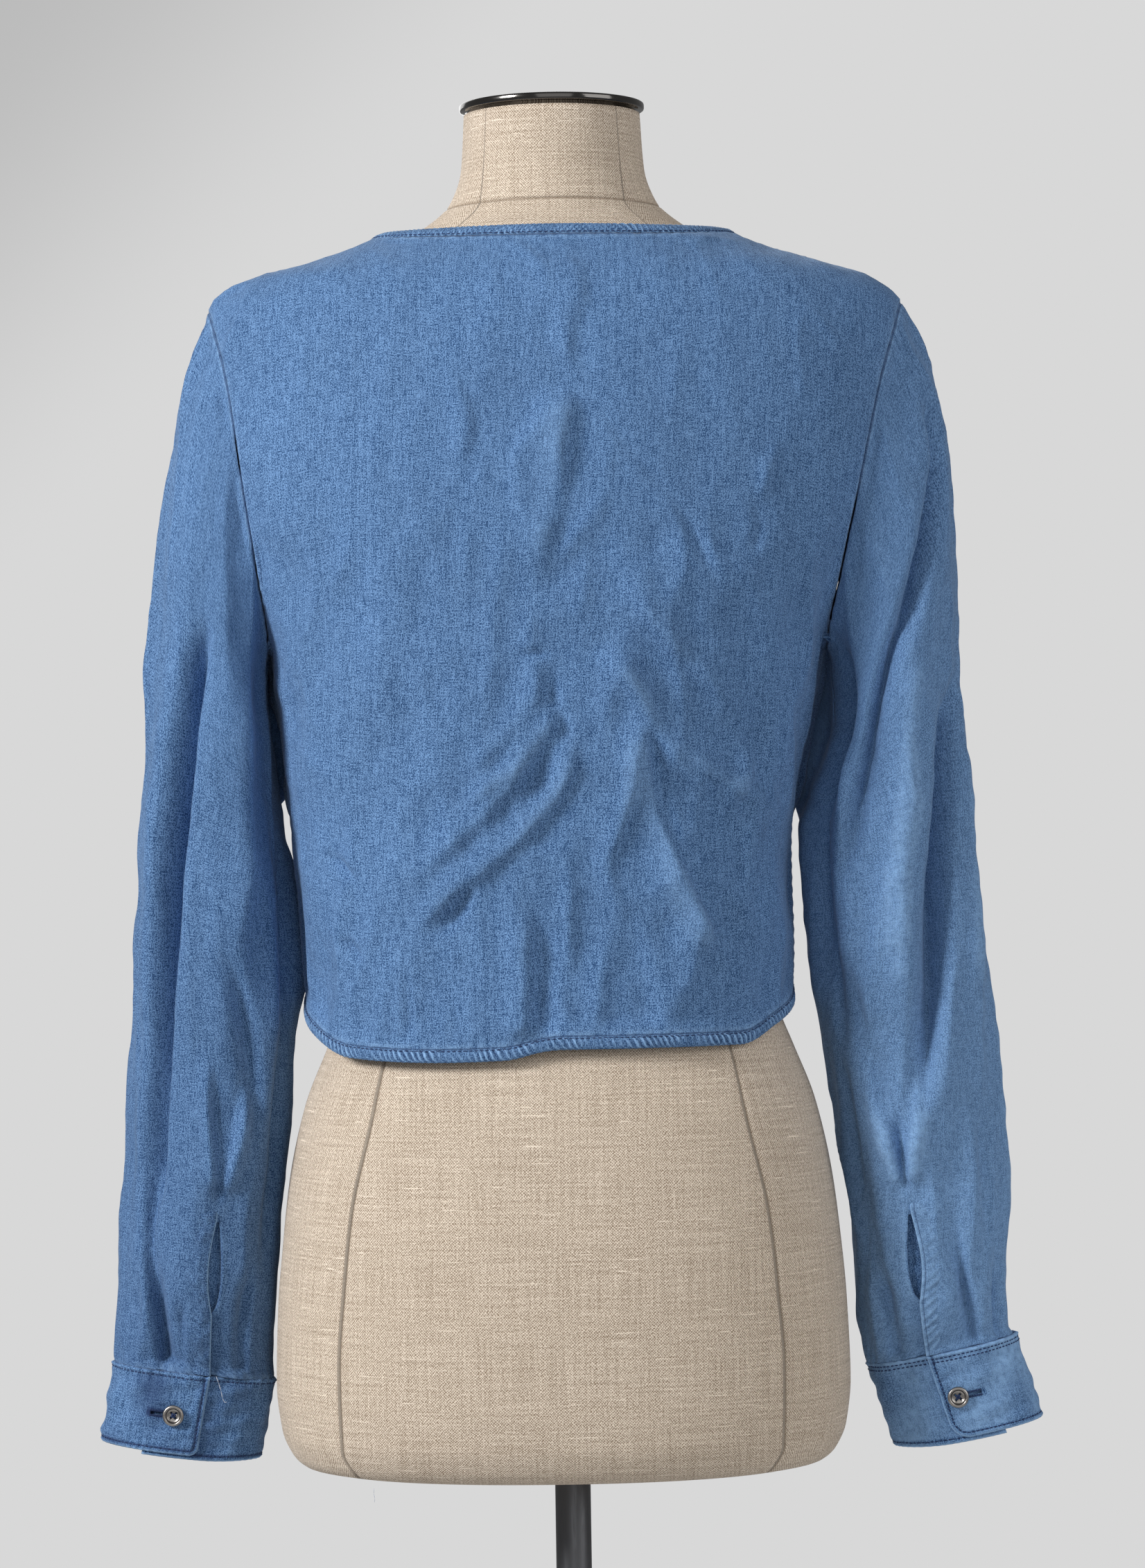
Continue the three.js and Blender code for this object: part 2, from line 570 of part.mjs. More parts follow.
function sleeveFoldDepth(folds, station, round) {
  const degrees = THREE.MathUtils.radToDeg(round);
  let sum = 0;
  for (const fold of folds) {
    const share = (station - fold.from) / (fold.to - fold.from);
    const centre = THREE.MathUtils.lerp(fold.startAngle, fold.endAngle, share);
    const away = THREE.MathUtils.euclideanModulo(degrees - centre + 180, 360) - 180;
    const fade = smooth(share, 0, 0.25) * (1 - smooth(share, 0.85, 1));
    sum += fold.depth * fade * Math.exp(-((away / fold.width) ** 2));
  }
  return sum;
}

// Smooth outer surface of a sleeve without its folds: u round it, v down it.
function sleeveSurface(name, hand) {
  const sections = sleeveSections[name].map((row, station) => ({ station, ...row }));
  const keys = ['outerX', 'outerZ', 'innerX', 'innerZ', 'depth', 'middle'];
  const last = sections.length - 1;
  return (u, v) => {
    const round = u * 2 * Math.PI;
    const station = v * last;
    const section = Object.fromEntries(keys.map((key) => [key, lookUp(sections, 'station', key, station)]));
    const point = sectionPoint(section, hand, round);
    const armholeShape = armholePoint(hand, round).sub(sectionPoint(sections[0], hand, round));
    return point.addScaledVector(armholeShape, 1 - smooth(station, 0, armholeBlend));
  };
}

function sleeveGeometry(name, hand) {
  const surface = sleeveSurface(name, hand);
  const last = sleeveSections[name].length - 1;
  const segments = 2 * armholeRows;
  const outer = [];
  const inner = [];
  for (let r = 0; r <= sleeveRings; r += 1) {
    outer.push([]);
    inner.push([]);
    const v = Math.max(r / sleeveRings, armholeStart / last);
    for (let c = 0; c < segments; c += 1) {
      const u = c / segments;
      const point = surface(u, v);
      const normal = normalOf((a, b) => surface(a + 1e-3, b), u, v, -hand);
      point.addScaledVector(normal, -sleeveFoldDepth(sleeveFolds[name], v * last, u * 2 * Math.PI));
      point.x += hand * seamGap;
      outer[r].push(point);
      inner[r].push(point.clone().addScaledVector(normal, -clothWall));
    }
  }
  return wallBetween(outer, inner, true);
}

// ---------------------------------------------------------------- cuffs and buttons
function cuffPoint(name, hand, round, down) {
  const seam = sleeveSections[name][sleeveSections[name].length - 1];
  const middleX = THREE.MathUtils.lerp((seam.outerX + seam.innerX) / 2, cuffs[name].bottomX, down);
  const middleZ = THREE.MathUtils.lerp((seam.outerZ + seam.innerZ) / 2, cuffs[name].bottomZ, down);
  const x = middleX + (seam.outerX - seam.innerX) / 2 * Math.cos(round);
  const z = middleZ + (seam.outerZ - seam.innerZ) / 2 * Math.cos(round);
  return new THREE.Vector3(hand * x, seam.middle + seam.depth * Math.sin(round), z - cuffGap);
}

function cuffNormal(name, hand, round) {
  const tiny = 1e-3;
  const along = cuffPoint(name, hand, round + tiny, 0.5).sub(cuffPoint(name, hand, round - tiny, 0.5));
  const down = cuffPoint(name, hand, round, 1).sub(cuffPoint(name, hand, round, 0));
  return along.cross(down).normalize().multiplyScalar(hand);
}

// One long band: it starts underneath, goes once round, and ends on top of its start.
function cuffGeometry(name, hand) {
  const start = radians(cuffUnderAngle);
  const end = radians(cuffOverAngle + 360);
  const height = cuffPoint(name, hand, 0, 0).distanceTo(cuffPoint(name, hand, 0, 1));
  const outer = [];
  const inner = [];
  for (let i = 0; i <= cuffSteps; i += 1) {
    const share = i / cuffSteps;
    const round = start + (end - start) * (1 - (1 - share) ** 1.25);      // closer steps at the corner
    const [tuckFrom, tuckTo] = cuffTuckAngles.map((past) => radians(cuffOverAngle + past));
    const tuck = 1 - smooth(round, tuckFrom, tuckTo);
    const normal = cuffNormal(name, hand, round);
    const toEnd = cuffPoint(name, hand, round, 1).distanceTo(cuffPoint(name, hand, end, 1));
    const fromCorner = Math.max(cuffCorner - toEnd, 0);
    const chord = Math.min(fromCorner, cuffCorner - 0.2);
    const cornerRise = cuffCorner - Math.sqrt(cuffCorner ** 2 - chord ** 2);
    const bottom = 1 + (tuck * cuffUnderDrop - cornerRise) / height;
    const inward = -tuck * (cuffWall + seamGap);
    const column = [0, bottom].map((down) => cuffPoint(name, hand, round, down));
    column.forEach((point) => point.addScaledVector(normal, inward));
    outer.push(column);
    inner.push(column.map((point) => point.clone().addScaledVector(normal, -cuffWall)));
  }
  return wallBetween(outer, inner, false);
}

const buttonProfile = [
  [0, 0], [4.6, 0], [5.7, 0.9], [6, 2], [5.6, 2.9], [4.9, 3.2], [4.2, 2.9], [3.8, 2.2], [0, 2.2],
].map(([radius, height]) => new THREE.Vector2(radius, height));

function placeButton(mesh, name, hand) {
  const round = radians(cuffs[name].buttonAngle);
  const normal = cuffNormal(name, hand, round);
  mesh.position.copy(cuffPoint(name, hand, round, buttonDown).addScaledVector(normal, 2 * seamGap));
  mesh.quaternion.setFromUnitVectors(new THREE.Vector3(0, 1, 0), normal);
}

// ---------------------------------------------------------------- sleeve slits
const slitTop = 0.82;           // share of the way down the sleeve where the slit starts
const slitGapEnd = 0.905;       // where its edges meet again
const slitAngle = 105;          // degrees round the sleeve
const slitWidth = 6;
const cutterReach = 60;         // how far behind the middle the cutter starts
const placketWidth = 11;
const placketWall = 1;
const placketAbove = 0.008;     // share of the sleeve by which the strip passes the slit's top
const placketEnd = 0.997;
const placketSteps = { down: 14, across: 3 };
const placketEdge = 0.4;        // strip to the slit's edge
const placketLift = 1.5 * seamGap;

// The slit's open part: a lens pushed through the back of the sleeve only.
function slitCutter(surface) {
  const top = surface(slitAngle / 360, slitTop);
  const bottom = surface(slitAngle / 360, slitGapEnd);
  const along = new THREE.Vector2(bottom.x - top.x, bottom.z - top.z);
  const across = new THREE.Vector2(along.y, -along.x).normalize();
  const steps = 8;
  const outline = [];
  for (let i = 0; i < 2 * steps; i += 1) {
    const share = i <= steps ? i / steps : 2 - i / steps;
    const half = (i <= steps ? 1 : -1) * slitWidth / 2 * Math.sin(share * Math.PI);
    outline.push(new THREE.Vector2(top.x, top.z).addScaledVector(along, share).addScaledVector(across, half));
  }
  const settings = { depth: cutterReach, bevelEnabled: false };
  const geometry = new THREE.ExtrudeGeometry(new THREE.Shape(outline), settings);
  geometry.rotateX(Math.PI / 2);
  geometry.translate(0, cutterReach, 0);
  return geometry;
}

// The strip sewn along the outer side of the slit, lying on the sleeve.
function placketGeometry(name, hand) {
  const surface = sleeveSurface(name, hand);
  const last = sleeveSections[name].length - 1;
  const { down: rows, across: columns } = placketSteps;
  const outer = [];
  const inner = [];
  for (let r = 0; r <= rows; r += 1) {
    const v = THREE.MathUtils.lerp(slitTop - placketAbove, placketEnd, r / rows);
    const gapShare = THREE.MathUtils.clamp((v - slitTop) / (slitGapEnd - slitTop), 0, 1);
    const slitEdge = slitWidth / 2 * Math.sin(gapShare * Math.PI) + placketEdge;
    const u0 = slitAngle / 360;
    const lengthPerTurn = surface(u0 + 0.005, v).distanceTo(surface(u0 - 0.005, v)) / 0.01;
    outer.push([]);
    inner.push([]);
    for (let c = 0; c <= columns; c += 1) {
      const u = u0 - (slitEdge + placketWidth * c / columns) / lengthPerTurn;
      const normal = normalOf(surface, u, v, -hand);
      const lift = placketLift - sleeveFoldDepth(sleeveFolds[name], v * last, u * 2 * Math.PI);
      const point = surface(u, v).addScaledVector(normal, lift);
      point.x += hand * seamGap;
      inner[r].push(point);
      outer[r].push(point.clone().addScaledVector(normal, placketWall));
    }
  }
  return wallBetween(outer, inner, false);
}

// ---------------------------------------------------------------- dress form and stand
function formGeometry() {
  const rings = [];
  const heights = formSections.map((row) => row.z);
  for (const z of heights) {
    const value = (key) => lookUp(formSections, 'z', key, z);
    const ring = [];
    for (let i = 0; i < formSegments; i += 1) {
      const angle = (i / formSegments) * 2 * Math.PI;
      const depth = Math.sin(angle) > 0 ? value('back') : value('front');
      const x = value('shift') + value('half') * signedPower(Math.cos(angle), 2 / value('power'));
      ring.push(new THREE.Vector3(x, depth * signedPower(Math.sin(angle), 2 / value('power')), z));
    }
    rings.push(ring);
  }
  return loftBetween(rings);
}

function turned(profile, segments) {
  const geometry = new THREE.LatheGeometry(profile.map(([r, z]) => new THREE.Vector2(r, z)), segments);
  geometry.rotateX(Math.PI / 2);
  return geometry;
}

const formTop = formSections[formSections.length - 1].z;
const capRadius = 52;
const capProfile = [
  [0, formTop + seamGap], [48, formTop + seamGap], [48, formTop + 1.8], [capRadius - 0.8, formTop + 2],
  [capRadius, formTop + 2.8], [capRadius, capTop - 1.6], [capRadius - 0.8, capTop - 0.6],
  [capRadius - 3, capTop - 0.2], [20, capTop], [0, capTop],
];
const hubHeight = 46;
const hubTop = baseThickness + seamGap + hubHeight;
const baseProfile = [
  [0, 0], [baseDiameter / 2 - 2, 0], [baseDiameter / 2, 2], [baseDiameter / 2, 5],
  [baseDiameter / 2 - 3, 7], [baseDiameter / 2 - 12, baseThickness], [0, baseThickness],
];
const hubProfile = [
  [0, baseThickness + seamGap], [34, baseThickness + seamGap], [34, baseThickness + 5],
  [20, baseThickness + 14], [17, hubTop - 3], [15, hubTop], [0, hubTop],
];
const poleProfile = [
  [0, hubTop + seamGap], [poleDiameter / 2, hubTop + seamGap],
  [poleDiameter / 2, formBottom - seamGap], [0, formBottom - seamGap],
];

// ---------------------------------------------------------------- materials
const denim = new THREE.MeshStandardMaterial({ color: '#5f7fae', roughness: 0.85, metalness: 0 });
const denimEdge = new THREE.MeshStandardMaterial({ color: '#46628f', roughness: 0.85, metalness: 0 });
const linen = new THREE.MeshStandardMaterial({ color: '#c3b193', roughness: 0.9, metalness: 0 });
const darkSteel = new THREE.MeshStandardMaterial({ color: '#4a4a4c', roughness: 0.3, metalness: 0.9 });
const gunmetal = new THREE.MeshStandardMaterial({ color: '#6a6a6d', roughness: 0.35, metalness: 0.9 });

// ---------------------------------------------------------------- scene
const blouseOnForm = new THREE.Group();

function addPiece(name, geometry, material) {
  const mesh = new THREE.Mesh(geometry, material);
  mesh.name = name;
  blouseOnForm.add(mesh);
  return mesh;
}

addPiece('back_panel', panelGeometry(BACK), denim);
addPiece('front_panel', panelGeometry(FRONT), denim);
addPiece('neck_binding', bandGeometry(neckLoop, 2 * neckColumns), denimEdge);
addPiece('hem_binding', bandGeometry(hemLoop, 2 * panelColumns), denimEdge);

for (const [name, hand] of [['left', LEFT], ['right', RIGHT]]) {
  const cutter = toManifold(slitCutter(sleeveSurface(name, hand)));
  const sleeve = toManifold(sleeveGeometry(name, hand)).subtract(cutter);
  addPiece(`sleeve_${name}`, toGeometry(sleeve), denim);
  addPiece(`placket_${name}`, placketGeometry(name, hand), denimEdge);
  addPiece(`cuff_${name}`, cuffGeometry(name, hand), denim);
  placeButton(addPiece(`button_${name}`, new THREE.LatheGeometry(buttonProfile, 20), gunmetal), name, hand);
}

addPiece('form_body', formGeometry(), linen);
addPiece('neck_cap', turned(capProfile, 40), darkSteel);
addPiece('pole', turned(poleProfile, 24), darkSteel);
addPiece('base_hub', turned(hubProfile, 32), darkSteel);
addPiece('base', turned(baseProfile, 48), darkSteel);

export default blouseOnForm;
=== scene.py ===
# Cropped denim pullover blouse, seen from behind, on a linen dress form with a turned stand.
# The tables are in millimetres, +Z up; the back of the blouse faces +Y and its left is +X.
import math

import bmesh
import bpy
import numpy as np
from mathutils import Matrix, Vector


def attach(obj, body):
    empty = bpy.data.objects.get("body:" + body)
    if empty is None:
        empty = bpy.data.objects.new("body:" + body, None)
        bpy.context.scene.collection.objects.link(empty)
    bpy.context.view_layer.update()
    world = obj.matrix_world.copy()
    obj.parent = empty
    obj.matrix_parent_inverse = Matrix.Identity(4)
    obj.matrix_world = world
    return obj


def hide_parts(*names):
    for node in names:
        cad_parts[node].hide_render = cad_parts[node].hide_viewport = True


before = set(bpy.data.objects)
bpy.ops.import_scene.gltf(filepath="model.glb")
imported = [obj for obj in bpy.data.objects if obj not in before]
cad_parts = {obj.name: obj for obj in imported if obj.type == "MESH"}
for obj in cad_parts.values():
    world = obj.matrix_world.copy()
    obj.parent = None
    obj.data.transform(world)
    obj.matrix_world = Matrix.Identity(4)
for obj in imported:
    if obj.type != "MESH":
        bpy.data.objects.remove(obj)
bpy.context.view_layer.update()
milli = 0.001
tiny, hair = 1e-6, 1e-9
back, front = 1, -1
left, right = 1, -1
halfTurn = math.pi
print("frame loaded:", len(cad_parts), "nodes")


# Numbers and tables.
def tableOf(columns, rows):
    return {name: np.array([row[i] for row in rows], float) for i, name in enumerate(columns.split())}


def lookUp(table, along, key, at):  # smooth cubic through the rows that never overshoots them
    places, values = table[along], table[key]
    slopes = np.diff(values) / np.diff(places)
    before, after = slopes[:-1], slopes[1:]
    rising = before * after > 0
    middle = np.where(rising, 2 * before * after / np.where(rising, before + after, 1), 0)
    tangents = np.concatenate([slopes[:1], middle, slopes[-1:]])
    at = np.clip(at, places[0], places[-1])
    row = np.clip(np.searchsorted(places, at, side="left") - 1, 0, len(places) - 2)
    step = places[row + 1] - places[row]
    t = (at - places[row]) / step
    a, b, ta, tb = values[row], values[row + 1], tangents[row] * step, tangents[row + 1] * step
    return a + t * (ta + t * (3 * (b - a) - 2 * ta - tb + t * (2 * (a - b) + ta + tb)))


def ramp(value, low, high):
    t = np.clip((value - low) / (high - low), 0, 1)
    return t * t * (3 - 2 * t)


def mixed(a, b, share):
    return a + (b - a) * share


def signedPower(value, power):
    return np.sign(value) * np.abs(value) ** power


def unit(vectors):
    return vectors / np.maximum(np.linalg.norm(vectors, axis=-1, keepdims=True), 1e-9)


noise = {"waves": 10, "sizes": (0.7, 2.0), "cycle": 6.283, "starts": (0, 6.28), "calm": 4}
ripple = {"squeeze": 0.6, "wander": 2, "wanderSize": 5, "height": 0.75, "swell": 0.35, "swellSize": 4}


def softNoise(points, size, seed):  # a few slow waves in random directions, about -1 to 1
    rng = np.random.default_rng(seed)
    total = 0
    for _ in range(noise["waves"]):
        heading = rng.normal(size=points.shape[-1])
        heading *= noise["cycle"] / (size * rng.uniform(*noise["sizes"]) * np.linalg.norm(heading))
        total = total + np.sin(points @ heading + rng.uniform(*noise["starts"]))
    return total / noise["calm"]


def puckers(along, across, pitch, slant, seed):  # uneven ripples along a seam, -1 to 1
    place = np.stack(np.broadcast_arrays(along, across * ripple["squeeze"]), -1)
    wander = ripple["wander"] * softNoise(place, pitch * ripple["wanderSize"], seed)
    wave = np.sin(noise["cycle"] * (along + slant * across) / pitch + wander)
    return wave * (ripple["height"] + ripple["swell"] * softNoise(place, pitch * ripple["swellSize"], seed + 1))


def bell(distance, width):  # 1 at no distance, and fading smoothly away past the width
    return np.exp(-((distance / width) ** 2))


crease = {"swell": 0.18, "swells": 9, "rounding": 2}


def creaseHeight(x, z, creases):  # each crease is a ridge (+) or a trough (-) along its path
    total = np.zeros_like(x)
    for path, height, widths, fades in creases:
        path = np.array(path, float)
        for _ in range(crease["rounding"]):  # round the corners of the path
            cut = [[mixed(a, b, 0.25), mixed(a, b, 0.75)] for a, b in zip(path, path[1:])]
            path = np.concatenate([path[:1], np.concatenate(cut), path[-1:]])
        steps = np.linalg.norm(np.diff(path, axis=0), axis=1)
        runs = np.concatenate([[0], np.cumsum(steps)])
        nearest, shareAt, sideAt = np.full(x.shape, 1e9), np.zeros_like(x), np.ones_like(x)
        for i, step in enumerate(steps):
            along = (path[i + 1] - path[i]) / step
            dx, dz = x - path[i][0], z - path[i][1]
            t = np.clip(dx * along[0] + dz * along[1], 0, step)
            away = np.hypot(dx - t * along[0], dz - t * along[1])
            closer = away < nearest
            nearest = np.where(closer, away, nearest)
            shareAt = np.where(closer, (runs[i] + t) / runs[-1], shareAt)
            sideAt = np.where(closer, dx * along[1] - dz * along[0], sideAt)
        width = np.where(sideAt < 0, widths[0], widths[1])  # first the +X side of a path that goes down
        fade = ramp(shareAt, 0, fades[0]) * (1 - ramp(shareAt, 1 - fades[1], 1))
        swell = 1 + crease["swell"] * np.sin(crease["swells"] * shareAt + height)
        total += height * fade * swell * bell(nearest, width)
    return total


# Meshes.
grids = {}  # the points of each sheet, in millimetres, for what is sewn on it
farAway = 99  # a distance from any seam or edge, in millimetres
sameSpot = 1e-6  # metres


def normalsOf(points, core, wrapAcross=False, wrapDown=False):
    def slope(axis, wrap):
        if not wrap:
            return np.gradient(points, axis=axis)
        body = np.take(points, range(points.shape[axis] - 1), axis=axis)  # the last one repeats the first
        change = (np.roll(body, -1, axis) - np.roll(body, 1, axis)) / 2
        return np.concatenate([change, np.take(change, [0], axis=axis)], axis=axis)

    normals = unit(np.cross(slope(1, wrapAcross), slope(0, wrapDown)))
    return normals * np.sign(((points - core) * normals).sum(-1).mean())


def runsFrom(points, axis):  # length along the cloth from its first row or column
    steps = np.linalg.norm(np.diff(points, axis=axis), axis=-1)
    start = np.zeros_like(np.take(steps, [0], axis=axis))
    return np.concatenate([start, np.cumsum(steps, axis=axis)], axis=axis)


def layFlat(points, middle):  # pattern coordinates: millimetres across from a column, and down
    across = runsFrom(points, 1)
    across = across - across[:, [middle]]
    down = np.broadcast_to(runsFrom(points, 0).mean(1, keepdims=True), across.shape)
    return np.stack([across, down], -1)


def sheetMesh(name, columns, rows, shape, core, gap=None, fill=False):
    bm = bmesh.new()
    bmesh.ops.create_grid(bm, x_segments=columns, y_segments=rows, size=0.5)
    mesh = bpy.data.meshes.new(name)
    bm.to_mesh(mesh)
    bm.free()
    flat = np.empty(len(mesh.vertices) * 3)
    mesh.vertices.foreach_get("co", flat)
    flat = flat.reshape(-1, 3)
    order = np.lexsort((flat[:, 0].round(5), flat[:, 1].round(5))).reshape(rows + 1, columns + 1)
    u, v = flat[order][..., 0] + 0.5, flat[order][..., 1] + 0.5
    points, pattern, fields = shape(u, v)
    grids[name] = points
    placed, patternAt = np.empty_like(flat), np.empty((len(flat), 2))
    placed[order], patternAt[order] = points * milli, pattern * milli
    mesh.vertices.foreach_set("co", placed.ravel())
    corners = np.empty(len(mesh.loops), int)
    mesh.loops.foreach_get("vertex_index", corners)
    mesh.uv_layers.new(name="cloth").data.foreach_set("uv", patternAt[corners].ravel())
    for field, usual in (("seam", farAway), ("turned", farAway), ("wearAndPaintedLight", 0)):
        values = np.full(len(flat), float(usual))
        values[order] = fields.get(field, usual)
        mesh.attributes.new(field, "FLOAT", "POINT").data.foreach_set("value", values)
    across, down = np.gradient(points, axis=1), np.gradient(points, axis=0)
    faceOut = (np.cross(across, down) * (points - core(points))).sum() > 0
    centres = [flat[list(face.vertices)].mean(0) + 0.5 for face in mesh.polygons] if gap else []
    bm = bmesh.new()
    bm.from_mesh(mesh)
    bm.faces.ensure_lookup_table()
    gone = [bm.faces[i] for i, centre in enumerate(centres) if gap(centre[0], centre[1])]
    bmesh.ops.delete(bm, geom=gone, context="FACES")
    bmesh.ops.remove_doubles(bm, verts=bm.verts, dist=sameSpot)
    if fill:
        bmesh.ops.holes_fill(bm, edges=[edge for edge in bm.edges if edge.is_boundary], sides=0)
        bmesh.ops.recalc_face_normals(bm, faces=bm.faces)
    elif not faceOut:
        bmesh.ops.reverse_faces(bm, faces=bm.faces)
    bm.to_mesh(mesh)
    bm.free()
    return mesh


def addPiece(name, mesh, material, nodes=(), wall=None):
    piece = bpy.data.objects.new(name, mesh)
    bpy.context.scene.collection.objects.link(piece)
    mesh.materials.append(material)
    mesh.shade_smooth()
    if wall:
        solidify = piece.modifiers.new("wall", "SOLIDIFY")
        solidify.thickness = wall * milli
        solidify.offset = -1
    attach(piece, "root")
    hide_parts(*nodes)
    return piece


def rowCore(points):  # the middle of each ring, for what goes round across its rows
    return points.mean(1, keepdims=True)


def columnCore(points):
    return points.mean(0, keepdims=True)


def axisCore(points):
    return points * np.array([0, 0, 1])


# The blouse's body. Angles start at the middle of each side; sections are superellipses.
bodySections = tableOf("z half shift back front power", [
    (925, 135.5, 9, 96, 116, 2.3), (957, 136.5, 9, 96, 116.5, 2.3),
    (1000, 139, 9.5, 96.5, 118, 2.3), (1030, 139.5, 10.5, 97, 120, 2.3),
    (1060, 140.5, 11.5, 98, 122.5, 2.3), (1085, 143, 11.5, 100, 125, 2.3),
    (1107, 146.5, 10.5, 102, 127.5, 2.3), (1140, 152, 8, 104, 130, 2.3),
    (1172, 158, 6.5, 105.5, 131.5, 2.3), (1210, 172, 5, 106.5, 130, 2.25),
    (1260, 187, 3, 106, 120.5, 2.2), (1310, 196, 1, 102.5, 105, 2.1),
    (1340, 198, 0, 97.5, 95, 2.05), (1358, 195, 0, 92, 89, 2), (1373, 178, 0, 84.5, 82, 2),
    (1385, 138, 0, 76.5, 76, 2), (1400, 96, 0, 65.5, 68, 2),
])
hemLine = tableOf("angle z", [
    (-180, 996), (-140, 992), (-115, 985), (-100, 976), (-90, 967), (-65, 955), (-48, 945.5),
    (-25, 945.5), (-2, 945.5), (8, 940), (24, 939), (51, 941), (70, 951), (90, 964), (100, 973),
    (115, 984), (140, 992), (180, 996),
])
blouse = {
    "shoulder": (195, 1358), "neck": (96, 1400), "neckDrop": {back: 1, front: 110},
    "neckCurve": {back: 4, front: 2.6}, "underarm": 1165, "armholeDepth": 48, "armholeCurve": 0.8,
    "underarmShare": 11 / 23, "shoulderShare": 5 / 26, "edgePull": 3,
    "panelInset": 6.6, "bindingOver": 0.8, "seamGap": 0.3, "wall": 1.2,
    "flatSides": (9, 7, 12),  # reach of the flat cloth beside the side seams, the top and the bottom
    "resting": (1215, 1240), "sinking": 0.25,  # heights where it comes to lie on the shoulders
    "rubbed": 0.3, "rubbedFrom": (2.5, 7),  # paler dye on creases this high
}
gathers = {"inner": (92, 108), "outer": (140, 156), "down": (16, 34), "start": 3, "height": 2.0, "depth": 0.9,
           "waves": (2.3, 5)}  # eased into the front's shoulder seams
quarterSteps = 36
sectionSteps = np.linspace(0, halfTurn / 2, quarterSteps + 1)


def sectionAt(side, z):
    keys = ("half", "shift", "power", "back" if side == back else "front")
    return [lookUp(bodySections, "z", key, z) for key in keys]


def bodyPoint(side, angle, z):  # on the cloth's outside; the angle starts at the middle of its own side
    half, shift, power, depth = sectionAt(side, z)
    x = shift + half * signedPower(np.sin(angle), 2 / power)
    y = side * depth * np.maximum(np.cos(angle), 0) ** (2 / power)
    return np.stack(np.broadcast_arrays(x, y, z), -1)


def sectionLengths(side, z):  # lengths along the section from its middle to the side seam
    half, _, power, depth = (value[..., None] for value in sectionAt(side, z))
    x = half * np.sin(sectionSteps) ** (2 / power)
    y = depth * np.maximum(np.cos(sectionSteps), 0) ** (2 / power)
    steps = np.hypot(np.diff(x), np.diff(y))
    return np.concatenate([0 * steps[..., :1], np.cumsum(steps, -1)], -1)


def stepOf(lengths, step):
    return [np.take_along_axis(lengths, step[..., None] + i, -1)[..., 0] for i in (0, 1)]


def lengthAt(side, angle, z):
    place = np.minimum(np.abs(angle) / (halfTurn / 2), 1) * quarterSteps
    step = np.minimum(place.astype(int), quarterSteps - 1)
    low, high = stepOf(sectionLengths(side, z), step)
    return np.sign(angle) * mixed(low, high, place - step)


def angleAtLength(side, length, z):
    lengths = sectionLengths(side, z)
    wanted = np.minimum(np.abs(length), lengths[..., -1])
    step = np.clip((lengths < wanted[..., None]).sum(-1) - 1, 0, quarterSteps - 1)
    low, high = stepOf(lengths, step)
    return np.sign(length) * (step + (wanted - low) / (high - low)) / quarterSteps * halfTurn / 2


def hemHeight(side, angle):
    degrees = np.degrees(angle)
    if side == front:
        degrees = np.where(degrees >= 0, 180 - degrees, -180 - degrees)
    return lookUp(hemLine, "angle", "z", degrees)


def shoulderHeight(x):
    heights = np.linspace(blouse["neck"][1], blouse["shoulder"][1], 421)
    return np.interp(x, lookUp(bodySections, "z", "half", heights), heights)


def neckline(side, share, inset):  # share runs from -1 to 1 across it
    end = blouse["neck"][0] + inset
    x = end * np.sin(share * halfTurn / 2)
    middleZ = blouse["neck"][1] - blouse["neckDrop"][side] - inset
    z = middleZ + (shoulderHeight(end) - middleZ) * np.abs(x / end) ** blouse["neckCurve"][side]
    half, shift, power, _ = sectionAt(back, z)
    angle = np.arcsin(signedPower(np.clip((x - shift) / half, -1, 1), power / 2))
    return np.where(np.abs(share) > 0.9999, share * halfTurn / 2, angle), z


def armhole(side, share):  # from the underarm, 0, to the shoulder point, 1
    turn = share * halfTurn
    middle = (blouse["shoulder"][1] + blouse["underarm"]) / 2
    z = middle - (blouse["shoulder"][1] - middle) * np.cos(turn)
    y = blouse["armholeDepth"] * np.maximum(np.sin(turn), 0) ** blouse["armholeCurve"]
    _, _, power, depth = sectionAt(side, z)
    angle = np.arccos(np.clip(y / depth, 0, 1) ** (power / 2))
    return np.where(y < 1e-3, halfTurn / 2, angle), z


def panelBottom(side, u):
    angle = (u - 0.5) * halfTurn
    return angle, hemHeight(side, angle) + blouse["panelInset"]


def panelTop(side, u):
    fromEdge = np.minimum(u, 1 - u) / blouse["shoulderShare"]
    neckAngle, neckZ = neckline(side, np.clip((u - 0.5) / (0.5 - blouse["shoulderShare"]), -1, 1),
                                blouse["panelInset"])
    x = mixed(blouse["shoulder"][0], blouse["neck"][0] + blouse["panelInset"], fromEdge)
    atNeck = fromEdge >= 1 - 1e-9
    return (np.where(atNeck, neckAngle, np.sign(u - 0.5) * halfTurn / 2),
            np.where(atNeck, neckZ, shoulderHeight(x)))


def panelEdge(side, hand, v):
    seam = blouse["underarmShare"]
    corner = hemHeight(side, np.array(hand * halfTurn / 2)) + blouse["panelInset"]
    angle, z = armhole(side, np.clip((v - seam) / (1 - seam), 0, 1))
    below = v <= seam
    return (hand * np.where(below, halfTurn / 2, angle),
            np.where(below, mixed(corner, blouse["underarm"], v / seam), z))


